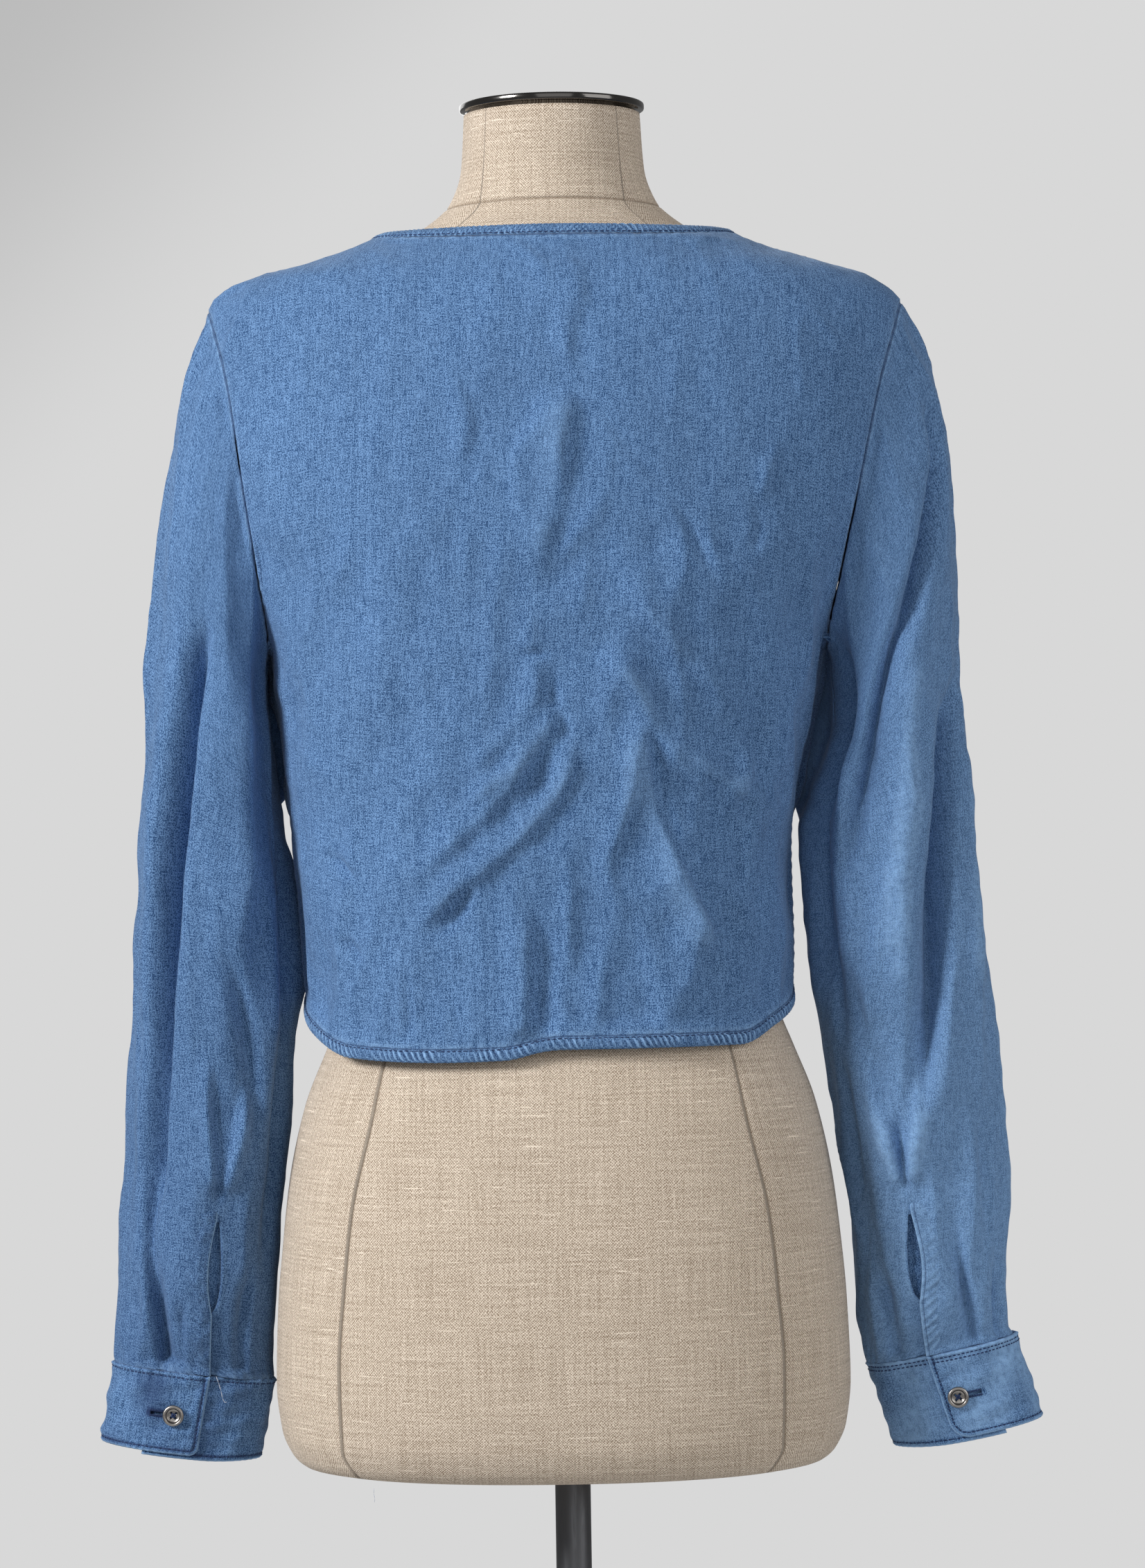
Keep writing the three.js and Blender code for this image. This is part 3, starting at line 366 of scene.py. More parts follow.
def panelPlace(side, u, v):  # lengths along the sections, and heights, over the whole grid
    def measured(place):
        return np.stack([lengthAt(side, *place), place[1]], -1)

    bottom, top = measured(panelBottom(side, u[:1])), measured(panelTop(side, u[:1]))
    place = mixed(bottom, top, v[..., None])
    for hand, corner, weight in ((right, 0, (1 - u)), (left, -1, u)):
        edge = measured(panelEdge(side, hand, v[:, :1]))
        straight = mixed(bottom[:, [corner]], top[:, [corner]], v[:, :1, None])
        place = place + weight[..., None] ** blouse["edgePull"] * (edge - straight)
    return place


# Pressed and hanging creases: path in x and z, height, widths on the two sides, fades at the ends.
backCreases = [
    ([(-11, 1384), (-13, 1356), (-7, 1338), (-8, 1306)], 2.9, (15, 7), (0.3, 0.3)),
    ([(-17, 1304), (-33, 1281), (-52, 1257), (-68, 1238), (-78, 1218), (-87, 1197)], -3.1, (3.2, 3), (0.15, 0.2)),
    ([(-11, 1333), (-17, 1318), (-20, 1301)], -2.2, (3, 3), (0.3, 0.3)),
    ([(-8, 1307), (0, 1271), (7, 1238), (12, 1194)], 5.9, (18, 8), (0.15, 0.3)),
    ([(-27, 1252), (-9, 1224), (2, 1204)], 2.8, (4, 6), (0.3, 0.3)),
    ([(58, 1319), (46, 1286), (41, 1252)], 2.5, (7, 3.5), (0.3, 0.3)),
    ([(33, 1314), (39, 1286), (50, 1252), (57, 1218)], -2.5, (5, 4), (0.3, 0.3)),
    ([(-107, 1250), (-110, 1232), (-107, 1212)], -2.8, (2.4, 2.4), (0.3, 0.3)),
    ([(-72, 1314), (-92, 1289)], -2.0, (3, 3), (0.3, 0.3)),
    ([(-124, 1286), (-117, 1262), (-105, 1233)], 3.1, (7, 4), (0.3, 0.3)),
    ([(21, 1160), (5, 1160)], -3.1, (1.8, 3), (0.2, 0.4)),
    ([(-19, 1165), (-43, 1141), (-47, 1129), (-64, 1099), (-87, 1074)], 5.6, (5, 9), (0.2, 0.3)),
    ([(-36, 1199), (-55, 1170), (-79, 1148), (-107, 1117)], 4.5, (4, 9), (0.2, 0.3)),
    ([(-5, 1144), (12, 1113), (36, 1080), (74, 1047), (87, 1030)], 5.3, (9, 5), (0.2, 0.3)),
    ([(2, 1124), (-8, 1098), (23, 1060), (67, 1027), (87, 1002)], 5.6, (8, 4.5), (0.2, 0.25)),
    ([(2, 1161), (22, 1127), (42, 1103), (60, 1088)], 3.6, (7, 6), (0.3, 0.3)),
    ([(-30, 1122), (-41, 1102), (-31, 1065), (-21, 1045), (-38, 1003)], 3.4, (5, 4), (0.2, 0.3)),
    ([(-45, 1130), (-43, 1103), (-49, 1075), (-63, 1036), (-77, 1007), (-81, 983)], 7.3, (15, 4.5), (0.2, 0.2)),
    ([(-59, 1118), (-73, 1103), (-97, 1084), (-121, 1074)], 3.9, (4, 8), (0.3, 0.3)),
    ([(18, 1103), (36, 1094), (56, 1075)], 2.8, (5, 3), (0.3, 0.3)),
    ([(47, 1046), (53, 1027), (72, 1006)], -3.4, (5, 4), (0.3, 0.3)),
    ([(-107, 1113), (-101, 1094), (-87, 1069)], 3.4, (7, 4), (0.3, 0.3)),
    ([(-127, 1142), (-122, 1113), (-124, 1084)], 2.8, (8, 4), (0.3, 0.3)),
    ([(2, 1161), (7, 1142), (-2, 1122), (-1, 1103)], -3.1, (4, 4), (0.3, 0.3)),
    ([(-3, 1051), (-3, 983)], 2.7, (3, 3), (0.3, 0.2)),
    ([(20, 1036), (21, 1000), (23, 948)], 4.8, (9, 4), (0.4, 0.05)),
    ([(10, 1030), (11, 990), (12, 948)], -3.9, (5, 6), (0.4, 0.05)),
    ([(-30, 1022), (-42, 990), (-48, 952)], -3.6, (8, 7), (0.3, 0.1)),
    ([(134, 1053), (120, 1045), (114, 1033)], -3.1, (2.8, 2.8), (0.2, 0.4)),
    ([(124, 1008), (110, 992)], -2.8, (2.8, 2.8), (0.2, 0.4)),
    ([(91, 998), (89, 981), (90, 952)], 2.8, (4, 2.5), (0.3, 0.1)),
    ([(-108, 1100), (-103, 1052), (-100, 1002)], 3.6, (4, 9), (0.3, 0.3)),
    ([(118, 1190), (96, 1150), (88, 1108)], 3.1, (12, 8), (0.3, 0.4)),
    ([(-62, 1336), (-84, 1296), (-92, 1252)], 2.2, (14, 10), (0.3, 0.4)),
    ([(96, 1300), (86, 1252), (92, 1212)], -2.2, (10, 9), (0.3, 0.4)),
    ([(70, 984), (64, 962), (70, 946)], 2.8, (8, 5), (0.3, 0.1)),
]
frontCreases = [
    ([(40, 1184), (52, 1100), (64, 1004)], -5.4, (15, 15), (0.25, 0.1)),
    ([(-36, 1176), (-48, 1096), (-60, 1004)], -5.4, (15, 15), (0.25, 0.1)),
    ([(4, 1136), (1, 1070), (3, 1000)], 4.4, (14, 14), (0.3, 0.1)),
    ([(70, 1190), (96, 1120), (104, 1040)], 3.7, (9, 12), (0.3, 0.3)),
    ([(-66, 1186), (-92, 1120), (-98, 1036)], 3.7, (12, 9), (0.3, 0.3)),
    ([(-20, 1240), (-12, 1200), (6, 1160)], 2.4, (7, 10), (0.3, 0.4)),
    ([(18, 1108), (34, 1066), (66, 1046)], 2.9, (6, 9), (0.3, 0.4)),
    ([(-24, 1090), (-52, 1058), (-84, 1044)], 2.7, (8, 6), (0.3, 0.4)),
    ([(122, 1330), (104, 1290), (96, 1240)], 2.7, (9, 9), (0.15, 0.5)),
    ([(-120, 1330), (-102, 1288), (-96, 1240)], 2.7, (9, 9), (0.15, 0.5)),
    ([(96, 1352), (84, 1320), (74, 1270)], 2.2, (7, 7), (0.15, 0.5)),
    ([(-98, 1352), (-84, 1320), (-74, 1270)], 2.2, (7, 7), (0.15, 0.5)),
]
# Folds of the front beside its side seams, in lengths from the seam and z.
sideCreases = [([(18, 1204), (18, 1120), (17, 1064)], 6, (9, 8), (0.12, 0.2))]
# Where each piece's random pattern starts; two sides of one kind are one apart.
seeds = {"back": 11, "front": 15, "sleeve": 31, "sleeveTop": 41, "sleeveEnd": 43, "slitEdge": 71, "strip": 81,
         "stripRumple": 83, "facing": 87, "cuffTop": 91, "cuffEdge": 93, "cuffRumple": 95, "cuffEnd": 97,
         "cuffDye": 99, "layers": 100, "pressed": 300}
clothLife = {  # height and size; a pucker also has its reach from the seam, pressed-in creases their stretch along z
    "sway": (1.4, 74), "crumple": (0.4, 20), "rumple": (0.16, 9), "pucker": (0.34, 7.5, 7), "puckerSlant": 0.25,
    "pressed": (3.4, 36, 0.6), "pressedSleeve": (3.0, 26, 0.2), "edgeRoll": 0.4, "rollWidth": 1.8,
}


def seamRelief(distance, along, seed):  # small ripples beside a seam, and the cloth turning down into it
    height, pitch, reach = clothLife["pucker"]
    ripples = height * puckers(along, distance, pitch, clothLife["puckerSlant"], seed) * np.exp(-distance / reach)
    return ripples - clothLife["edgeRoll"] * (1 - ramp(distance, 0, clothLife["rollWidth"]))


def lively(points, seed, pressed):  # the slow sway, fine crumpling and pressed-in creases of soft cloth
    depth, size, stretch = clothLife[pressed]
    relief = -depth * np.abs(softNoise(points * [1, 1, stretch], size, seed + seeds["pressed"]))  # sharp valleys
    for i, key in enumerate(("sway", "crumple", "rumple")):
        relief += clothLife[key][0] * softNoise(points, clothLife[key][1], seed + i * seeds["layers"])
    return relief


def panelShape(side, creases, seed):
    def shape(u, v):
        u, v = crowded(u), crowded(v)
        place = panelPlace(side, u, v)
        angle = angleAtLength(side, place[..., 0], place[..., 1])
        points = bodyPoint(side, angle, place[..., 1])
        normals = normalsOf(points, axisCore(points))
        pattern = layFlat(points, u.shape[1] // 2)
        across, down = runsFrom(points, 1), runsFrom(points, 0)
        fromSide = np.minimum(across, across[:, -1:] - across)
        fromBottom, fromTop = down, down[-1:] - down
        x, z = points[..., 0], points[..., 2]
        pressed = creaseHeight(x, z, creases)
        relief = pressed + lively(points, seed, "pressed")
        if side == front:
            bunch = ramp(np.abs(x), *gathers["inner"]) * (1 - ramp(np.abs(x), *gathers["outer"]))
            bunch = bunch * (1 - ramp(fromTop, *gathers["down"])) * ramp(fromTop, 0, gathers["start"])
            fine, slow = gathers["waves"]
            relief += bunch * (gathers["height"] + gathers["depth"] * np.sin(x / fine + np.sin(x / slow)))
            relief += creaseHeight(across, z, sideCreases) + creaseHeight(across[:, -1:] - across, z, sideCreases)
        for distance, reach in zip((fromSide, fromTop, fromBottom), blouse["flatSides"]):
            relief *= ramp(distance, 0, reach)
        resting = ramp(z, *blouse["resting"])  # cloth that lies on the shoulders can't sink in
        relief = np.where(relief < 0, relief * mixed(1, blouse["sinking"], resting), relief)
        relief += seamRelief(fromSide, z, seed + 2) + seamRelief(fromTop, x, seed + 3)
        relief += seamRelief(fromBottom, x, seed + 4)
        points = points + normals * relief[..., None]
        onSide, onTop = fromSide < tiny, fromTop < tiny
        atArmhole = onSide & (v >= blouse["underarmShare"] - hair) & ~onTop
        points[..., 0] -= np.where(atArmhole, np.sign(x) * blouse["seamGap"] / 2, 0)
        atShoulder = np.minimum(u, 1 - u) < blouse["shoulderShare"] + tiny
        atSide = onSide & (v <= blouse["underarmShare"] + hair) | onTop & atShoulder
        points[..., 1] += np.where(atSide, side * 0.6 * blouse["seamGap"], 0)
        bound = np.minimum(fromTop, fromBottom) - blouse["bindingOver"]
        bound = np.where(atShoulder & (fromTop < fromBottom), fromTop, bound)
        rubbed = blouse["rubbed"] * ramp(pressed, *blouse["rubbedFrom"])
        return points, pattern, {"seam": np.minimum(fromSide, bound), "wearAndPaintedLight": rubbed}

    return shape


def crowded(share):  # the first and last steps of a grid are short, so that edges turn crisply
    steps = max(share.shape) - 1
    end = 0.35 / steps
    inner, outer = (np.abs(side * steps - 1) < 0.5 for side in (share, 1 - share))
    return np.where(inner, end, np.where(outer, 1 - end, share))


# Bindings: a folded strip sewn round an edge, with slanting puckers.
binding = {
    "neck": {"steps": 640, "pitch": 3.4, "slant": 0.35, "pucker": 0.46, "puff": 1.3, "seed": 51},
    "hem": {"steps": 880, "pitch": 3.7, "slant": 0.9, "pucker": 0.6, "puff": 1.5, "seed": 61},
    "around": 14, "height": 7.4, "inward": 0.6, "trim": 0.15, "rise": 0.12, "corners": (0.75, 0.8),
    "groove": (0.55, 0.72, 0.22),  # depth share, place and width of the sewn line
    "paler": 0.9, "darker": 0.6, "join": 6,
}


def neckLoop(share, inset):  # once round the neckline: the back and then the front
    onBack, onFront = np.clip(share * 4 - 1, -1, 1), np.clip(3 - share * 4, -1, 1)
    backAngle, backZ = neckline(back, onBack, inset)
    frontAngle, frontZ = neckline(front, onFront, inset)
    return np.where((share < 0.5)[..., None], bodyPoint(back, backAngle, backZ),
                    bodyPoint(front, frontAngle, frontZ))


def hemLoop(share, inset):
    backAngle, frontAngle = (share * 2 - 0.5) * halfTurn, (1.5 - share * 2) * halfTurn
    backPoints = bodyPoint(back, backAngle, hemHeight(back, backAngle) + inset)
    frontPoints = bodyPoint(front, frontAngle, hemHeight(front, frontAngle) + inset)
    return np.where((share < 0.5)[..., None], backPoints, frontPoints)


def evenShares(loop, count):  # shares at equal steps of length round the loop
    fine = np.linspace(0, 1, 4 * count + 1)
    runs = runsFrom(loop(fine, 0)[None], 1)[0]
    return np.interp(np.linspace(0, runs[-1], count + 1), runs, fine)


def bandShape(loop, look):
    height = binding["height"]

    def shape(u, v):
        shares = evenShares(loop, u.shape[1] - 1)
        low, high = loop(shares, 0)[None], loop(shares, height)[None]
        sideways = np.gradient(low, axis=1)
        sideways[:, [0, -1]] = (sideways[:, [0]] + sideways[:, [-1]]) / 2
        upward = unit(high - low)
        outward = unit(np.cross(sideways, upward))
        outward *= np.sign((outward * (low - rowCore(low))).sum(-1).mean())
        turn = v * 2 * halfTurn
        runs = runsFrom(low, 1)
        closing = np.round(runs[0, -1] / look["pitch"]) * look["pitch"] / runs[0, -1]
        wave = puckers(runs * closing, height * np.sin(turn), look["pitch"], look["slant"], look["seed"])
        wave = wave * ramp(np.minimum(runs, runs[:, -1:] - runs), 0, binding["join"])
        depth, place, width = binding["groove"]
        sewn = 1 - depth * bell(np.sin(turn) - place, width) * (np.cos(turn) > 0)
        thick = (look["puff"] + look["pucker"] * wave) * sewn
        upHalf = height / 2 - binding["trim"] + binding["rise"] * wave
        centre = mixed(low, high, 0.5) - binding["inward"] * outward
        ups = upHalf * signedPower(np.sin(turn), binding["corners"][0])
        outs = thick * signedPower(np.cos(turn), binding["corners"][1])
        points = centre + upward * ups[..., None] + outward * outs[..., None]
        pattern = np.stack([runs + 0 * v, v * (2 * height + 4)], -1)
        wearAndPaintedLight = binding["paler"] * ramp(wave, -0.1, 1.1) - binding["darker"] * ramp(-wave, 0.1, 1)
        return points, pattern, {"wearAndPaintedLight": wearAndPaintedLight}

    return shape


# Sleeves: a ring at each station, from the armhole, 0, down to the cuff, 13.
sleeveSections = {
    "left": tableOf("station outerX outerZ innerX innerZ depth middle", [
        (0, 195, 1358, 163.5, 1165, 48, 0), (1, 206.5, 1328, 165, 1151, 49, 0),
        (2, 214.5, 1284, 164.8, 1137, 49, 0), (3, 221, 1240, 163, 1121, 48, 0),
        (4, 226.5, 1198, 160.5, 1103, 47, -1), (5, 231.8, 1155, 158, 1083, 46, -2),
        (6, 235.6, 1110, 156, 1061, 45, -3), (7, 239, 1062, 153.8, 1034, 44, -4),
        (8, 242.2, 1012, 151.5, 1000, 43, -5), (9, 245.5, 960, 150.5, 956, 42, -6),
        (10, 249, 895, 156.5, 891, 41, -8), (11, 254, 835, 162.8, 828, 39, -9),
        (12, 257, 795, 165.5, 784, 36, -10), (13, 257.8, 768, 167.5, 756.5, 28, -10),
    ]),
    "right": tableOf("station outerX outerZ innerX innerZ depth middle", [
        (0, 195, 1358, 150.5, 1165, 48, 0), (1, 209.5, 1328, 152.8, 1151, 49, 0),
        (2, 219, 1284, 152.8, 1137, 49, 0), (3, 223.5, 1240, 151.5, 1120, 48, 0),
        (4, 224.5, 1198, 146.5, 1102, 47, -1), (5, 226.5, 1155, 138.5, 1082, 46, -2),
        (6, 228.5, 1110, 133, 1061, 45, -3), (7, 231, 1062, 133.5, 1035, 44, -4),
        (8, 236, 1012, 136, 1000, 43, -5), (9, 240.3, 960, 141.5, 955, 42, -6),
        (10, 244.8, 895, 150.5, 890, 41, -8), (11, 248.3, 835, 157.8, 826, 39, -9),
        (12, 250, 800, 162, 784, 36, -10), (13, 251, 776, 166.8, 760, 28, -10),
    ]),
}
sleeveKeys = ("outerX", "outerZ", "innerX", "innerZ", "depth", "middle")
sleeve = {
    "blend": 3, "start": 0.02, "millimetresPerDegree": 0.75, "creases": 2, "cut": 330, "wall": 1.2,
    "slitAngle": 105, "slitTop": 0.82, "slitGapEnd": 0.905, "slitHalf": 3, "tuck": (4.4, 2.8),
    "columns": 180, "slitColumn": 142, "rows": 224, "slitCut": 1.2, "slitSpread": 9, "slitOpens": (0.02, 0.15, 30),
    "tuckBlend": 0.012, "tuckSpread": 5, "rim": (0.5, 1.6, 2.2), "cuffPuckers": 1.3,
    "ends": (0.03, 0.985, 0.75), "stations": 13,
    "slopeSteps": (0.3, 0.002),  # in degrees and in shares of its length
    # painted light and shade: the right sleeve and its strip are painted paler towards the cuff, the left one darker
    "paintedLightAndShade": {"left": (0.06, -0.34), "right": (0.18, 0.42)},  # from the top to the cuff
    # paler on the slit's rim and on high folds, as rubbed denim; the edge value is painted shade at the slit's very
    # edge
    "worn": {"rim": 0.3, "edge": 0.5, "fold": 0.2, "folds": (1.5, 4)},
}
# Paths run in millimetres round the sleeve (0 outer, 67 back, 135 inner, 202 front) and in z.
sleeveCreases = {
    "left": [
        ([(66, 1192), (56, 1148), (50, 1087), (45, 1022), (42, 971), (39, 924), (41, 877), (40, 846)],
         -9, (4.5, 9), (0.15, 0.12)),
        ([(33, 880), (36, 840), (44, 800), (51, 763)], -5, (8, 2), (0.3, 0.02)),
        ([(52, 1206), (42, 1148), (34, 1087), (30, 1022), (26, 945), (21, 880)], 2.2, (7, 12), (0.3, 0.3)),
        ([(96, 1186), (93, 1120), (90, 1065), (87, 1018), (80, 960)], 1.9, (7, 14), (0.3, 0.4)),
        ([(76, 1010), (85, 971), (95, 924), (97, 890)], -2.4, (4, 6), (0.3, 0.3)),
        ([(14, 1300), (9, 1200), (6, 1090)], 2.0, (13, 15), (0.3, 0.4)),
        ([(26, 1010), (20, 940), (16, 850), (20, 790)], -1.6, (7, 9), (0.3, 0.3)),
        ([(66, 946), (72, 900), (77, 864)], 2.8, (3, 6), (0.35, 0.12)),
        ([(92, 930), (86, 894), (82, 864)], 3.0, (6, 3), (0.35, 0.12)),
        ([(70, 936), (74, 896), (79, 860)], -2, (2.4, 2.4), (0.35, 0.1)),
        ([(62, 812), (63, 786), (62, 763)], -2.0, (1.6, 6), (0.5, 0.02)),
        ([(100, 830), (97, 790), (98, 762)], -2.6, (4, 5), (0.4, 0.05)),
        ([(120, 1130), (118, 950), (112, 800)], -3.4, (9, 6), (0.3, 0.2)),
        ([(141, 1066), (141, 1030), (140, 975), (138, 950)], 3, (10, 10), (0.2, 0.3)),
        ([(225, 1110), (220, 950), (216, 800)], -4.2, (14, 14), (0.25, 0.15)),
        ([(243, 1200), (241, 1050), (243, 880)], 2.0, (4, 11), (0.3, 0.3)),
        ([(200, 1050), (192, 980), (194, 880)], 2.4, (11, 11), (0.3, 0.3)),
        ([(163, 1180), (163, 1120), (162, 1070)], 7.5, (9, 9), (0.12, 0.2)),
    ],
    "right": [
        ([(20, 1152), (28, 1112), (33, 1065), (43, 1018), (51, 971), (62, 924), (74, 885)],
         -9, (9, 3.6), (0.15, 0.3)),
        ([(26, 1306), (21, 1275), (32, 1246), (58, 1190), (81, 1144), (80, 1079), (98, 1020)],
         -6.6, (5, 6.5), (0.1, 0.3)),
        ([(44, 1200), (56, 1140), (58, 1090), (64, 1040), (70, 990), (78, 930)], 2.6, (9, 9), (0.3, 0.3)),
        ([(10, 1120), (15, 1060), (24, 1000), (34, 940)], 2.6, (6, 9), (0.3, 0.3)),
        ([(114, 1190), (113, 1100), (111, 1000), (108, 900)], -6.5, (13, 10), (0.2, 0.4)),
        ([(36, 930), (32, 880), (34, 810)], -1.2, (4, 7), (0.3, 0.3)),
        ([(12, 1010), (8, 900), (12, 800)], 1.8, (9, 9), (0.3, 0.3)),
        ([(98, 1000), (92, 940), (84, 892)], -2.2, (7, 5), (0.3, 0.3)),
        ([(64, 930), (71, 895), (77, 862)], 2.8, (3, 6), (0.35, 0.12)),
        ([(92, 922), (86, 890), (82, 862)], 2.8, (6, 3), (0.35, 0.12)),
        ([(80, 912), (79.5, 880), (79, 860)], -2, (2.4, 2.4), (0.35, 0.1)),
        ([(56, 850), (49, 800), (46, 766)], -3.2, (6, 2), (0.5, 0.02)),
        ([(26, 830), (29, 800), (30, 768)], -2.4, (2, 6), (0.5, 0.02)),
        ([(100, 824), (98, 790), (98, 764)], -2.4, (4, 5), (0.4, 0.05)),
        ([(118, 960), (110, 880), (108, 800)], -2.2, (9, 9), (0.3, 0.2)),
        ([(225, 1110), (218, 950), (214, 800)], -4.2, (14, 14), (0.25, 0.15)),
        ([(243, 1210), (241, 1060), (245, 890)], 2.0, (4, 11), (0.3, 0.3)),
        ([(198, 1040), (190, 980), (192, 880)], 2.4, (11, 11), (0.3, 0.3)),
        ([(168, 1208), (166, 1150), (165, 1110), (163, 1052)], 11, (16, 13), (0.1, 0.25)),
    ],
}


def ringPoint(values, hand, degrees):
    outerX, outerZ, innerX, innerZ, depth, middle = values
    turn = np.radians(degrees)
    x = (outerX + innerX) / 2 + (outerX - innerX) / 2 * np.cos(turn)
    z = (outerZ + innerZ) / 2 + (outerZ - innerZ) / 2 * np.cos(turn)
    return np.stack(np.broadcast_arrays(hand * x, middle + depth * np.sin(turn), z), -1)


def armholePoint(hand, degrees):
    turn = np.radians(degrees) % (2 * halfTurn)
    share = np.abs(halfTurn - turn) / halfTurn
    sides = []
    for side in (back, front):
        angle, z = armhole(side, share)
        sides.append(bodyPoint(side, hand * angle, z))
    return np.where((turn <= halfTurn)[..., None], sides[0], sides[1])


def sleeveForm(name, hand, degrees, v):  # the sleeve's smooth outside: degrees round it, v down it
    station = np.maximum(v * sleeve["stations"], sleeve["start"])
    table = sleeveSections[name]
    points = ringPoint([lookUp(table, "station", key, station) for key in sleeveKeys], hand, degrees)
    atArmhole = armholePoint(hand, degrees) - ringPoint([table[key][0] for key in sleeveKeys], hand, degrees)
    points = points + atArmhole * (1 - ramp(station, 0, sleeve["blend"]))[..., None]
    points[..., 0] += hand * blouse["seamGap"]
    return points


def sleeveCloth(name, hand, degrees, v):  # its points, outward normals, and how far they stand out
    points = sleeveForm(name, hand, degrees, v)
    turned, moved = sleeve["slopeSteps"]
    aside = sleeveForm(name, hand, degrees + turned, v) - sleeveForm(name, hand, degrees - turned, v)
    down = sleeveForm(name, hand, degrees, np.minimum(v + moved, 1))
    down = down - sleeveForm(name, hand, degrees, np.maximum(v - moved, 0))
    normals = -hand * unit(np.cross(aside, down))
    x = ((degrees + 360 - sleeve["cut"]) % 360 - 360 + sleeve["cut"]) * sleeve["millimetresPerDegree"]
    relief = sleeve["creases"] * creaseHeight(x, points[..., 2], sleeveCreases[name])
    relief = relief + lively(points, seeds["sleeve"] + hand, "pressedSleeve")
    start, end, calm = sleeve["ends"]
    return points, normals, relief * (ramp(v, 0, start) * (1 - calm * ramp(v, end, 1)))


def slitShare(v):  # 0 at the slit's top, 1 where its edges meet again
    return np.clip((v - sleeve["slitTop"]) / (sleeve["slitGapEnd"] - sleeve["slitTop"]), 0, 1)


def sleeveShape(name, hand):
    slit, gapEnd, blend = sleeve["slitColumn"], sleeve["slitGapEnd"], sleeve["tuckBlend"]
    turned, cut = sleeve["slitAngle"] + 180, sleeve["slitCut"]

    def shape(u, v):
        u, v = u * (u.shape[1] - 1), crowded(v)
        degrees = 180 + np.interp(u, [0, slit, slit + 1, sleeve["columns"]], [0, turned - cut, turned + cut, 360])
        share = slitShare(v)
        lens = sleeve["slitHalf"] * np.sin(share * halfTurn) / sleeve["millimetresPerDegree"]
        away = u - slit - 0.5
        degrees += lens * np.sign(away) * bell(np.abs(away) - 0.5, sleeve["slitSpread"])
        under = ramp(v, gapEnd - blend, gapEnd + blend)
        tucked = under * np.where(away > 0, bell(away - 0.5, sleeve["tuckSpread"]), 0)
        degrees -= tucked * sleeve["tuck"][0] / sleeve["millimetresPerDegree"]
        points, normals, relief = sleeveCloth(name, hand, degrees, v)
        relief -= tucked * sleeve["tuck"][1]
        down = runsFrom(points, 0)
        fromTop, fromCuff = down, down[-1:] - down
        rimHeight, columnWidth, rimWidth = sleeve["rim"]
        start, end, closed = sleeve["slitOpens"]
        fromSlit = np.abs((np.abs(away) - 0.5) * columnWidth) + closed * (1 - ramp(share, start, end))
        rim = bell(fromSlit, rimWidth) * (1 - under)
        relief += rimHeight * rim
        along = degrees * sleeve["millimetresPerDegree"]
        relief += seamRelief(fromTop, along, seeds["sleeveTop"])
        relief += sleeve["cuffPuckers"] * seamRelief(fromCuff, along, seeds["sleeveEnd"])
        points = points + normals * relief[..., None]
        pattern = layFlat(points, u.shape[1] // 2)
        worn = sleeve["worn"]
        # rubbed paler on the rim and on high folds, with painted shade right at the slit's edge
        wearAndPaintedLight = np.maximum(worn["rim"] * rim, worn["fold"] * ramp(relief, *worn["folds"])) - worn["edge"] * rim ** 4
        # painted light on the right sleeve and painted shade on the lower left sleeve, from the top to the cuff
        wearAndPaintedLight += mixed(*sleeve["paintedLightAndShade"][name], down / down[-1:])
        return points, pattern, {"seam": np.minimum(fromTop, fromCuff), "wearAndPaintedLight": wearAndPaintedLight}

    return shape


def slitFaces(u, v):  # the slit runs on to the cuff, its lower part under the strip
    return sleeve["slitTop"] < v and sleeve["slitColumn"] < u * sleeve["columns"] < sleeve["slitColumn"] + 1


facing = {"reach": (12, 10), "depth": 2.6, "top": 0.812, "end": 0.93, "columns": 14, "rows": 48, "wall": 0.8,
          "flat": (9, 60), "rumple": 0.5, "pitch": 8, "slant": 0.6}
paintedRecessShade = -0.25  # painted shade: the facing inside the slit and the cord in the armhole seam are darker


def facingShape(name, hand):  # the hidden layer that shows inside the slit
    def shape(u, v):
        down = mixed(facing["top"], facing["end"], v)
        degrees = mixed(-facing["reach"][0], facing["reach"][1], u) / sleeve["millimetresPerDegree"]
        degrees = degrees + sleeve["slitAngle"]
        points, normals, relief = sleeveCloth(name, hand, degrees, down)
        wide, long = facing["flat"]
        relief += facing["rumple"] * puckers(v * long, u * wide, facing["pitch"], facing["slant"], seeds["facing"])
        points = points + normals * (relief - facing["depth"])[..., None]
        # painted shade inside the slit
        return points, np.stack([runsFrom(points, 1), runsFrom(points, 0)], -1), {"wearAndPaintedLight": paintedRecessShade}

    return shape


armholeCord = {"radius": 1.3, "half": 3, "sunk": 1.8, "steps": 300, "around": 10, "middle": (60, 0, 1250)}


def armholeSeamShape(hand):  # the seam's turned-in edges, a cord just under its two sides, darkened with painted shade
    def shape(u, v):
        degrees = u * 360
        centre = armholePoint(hand, degrees)
        along = np.gradient(centre, axis=1)
        along[:, [0, -1]] = (along[:, [0]] + along[:, [-1]]) / 2
        outward = unit(centre - np.array(armholeCord["middle"]) * [hand, 1, 1])
        outward = unit(outward - unit(along) * (outward * unit(along)).sum(-1, keepdims=True))
        across = np.cross(unit(along), outward)
        turn = (v * 2 * halfTurn)[..., None]
        ring = outward * np.cos(turn) * armholeCord["radius"] + across * np.sin(turn) * armholeCord["half"]
        points = centre - outward * armholeCord["sunk"] + ring
        # painted shade in the seam's groove
        return points, np.stack([runsFrom(centre, 1), v * 9], -1), {"wearAndPaintedLight": paintedRecessShade}

    return shape


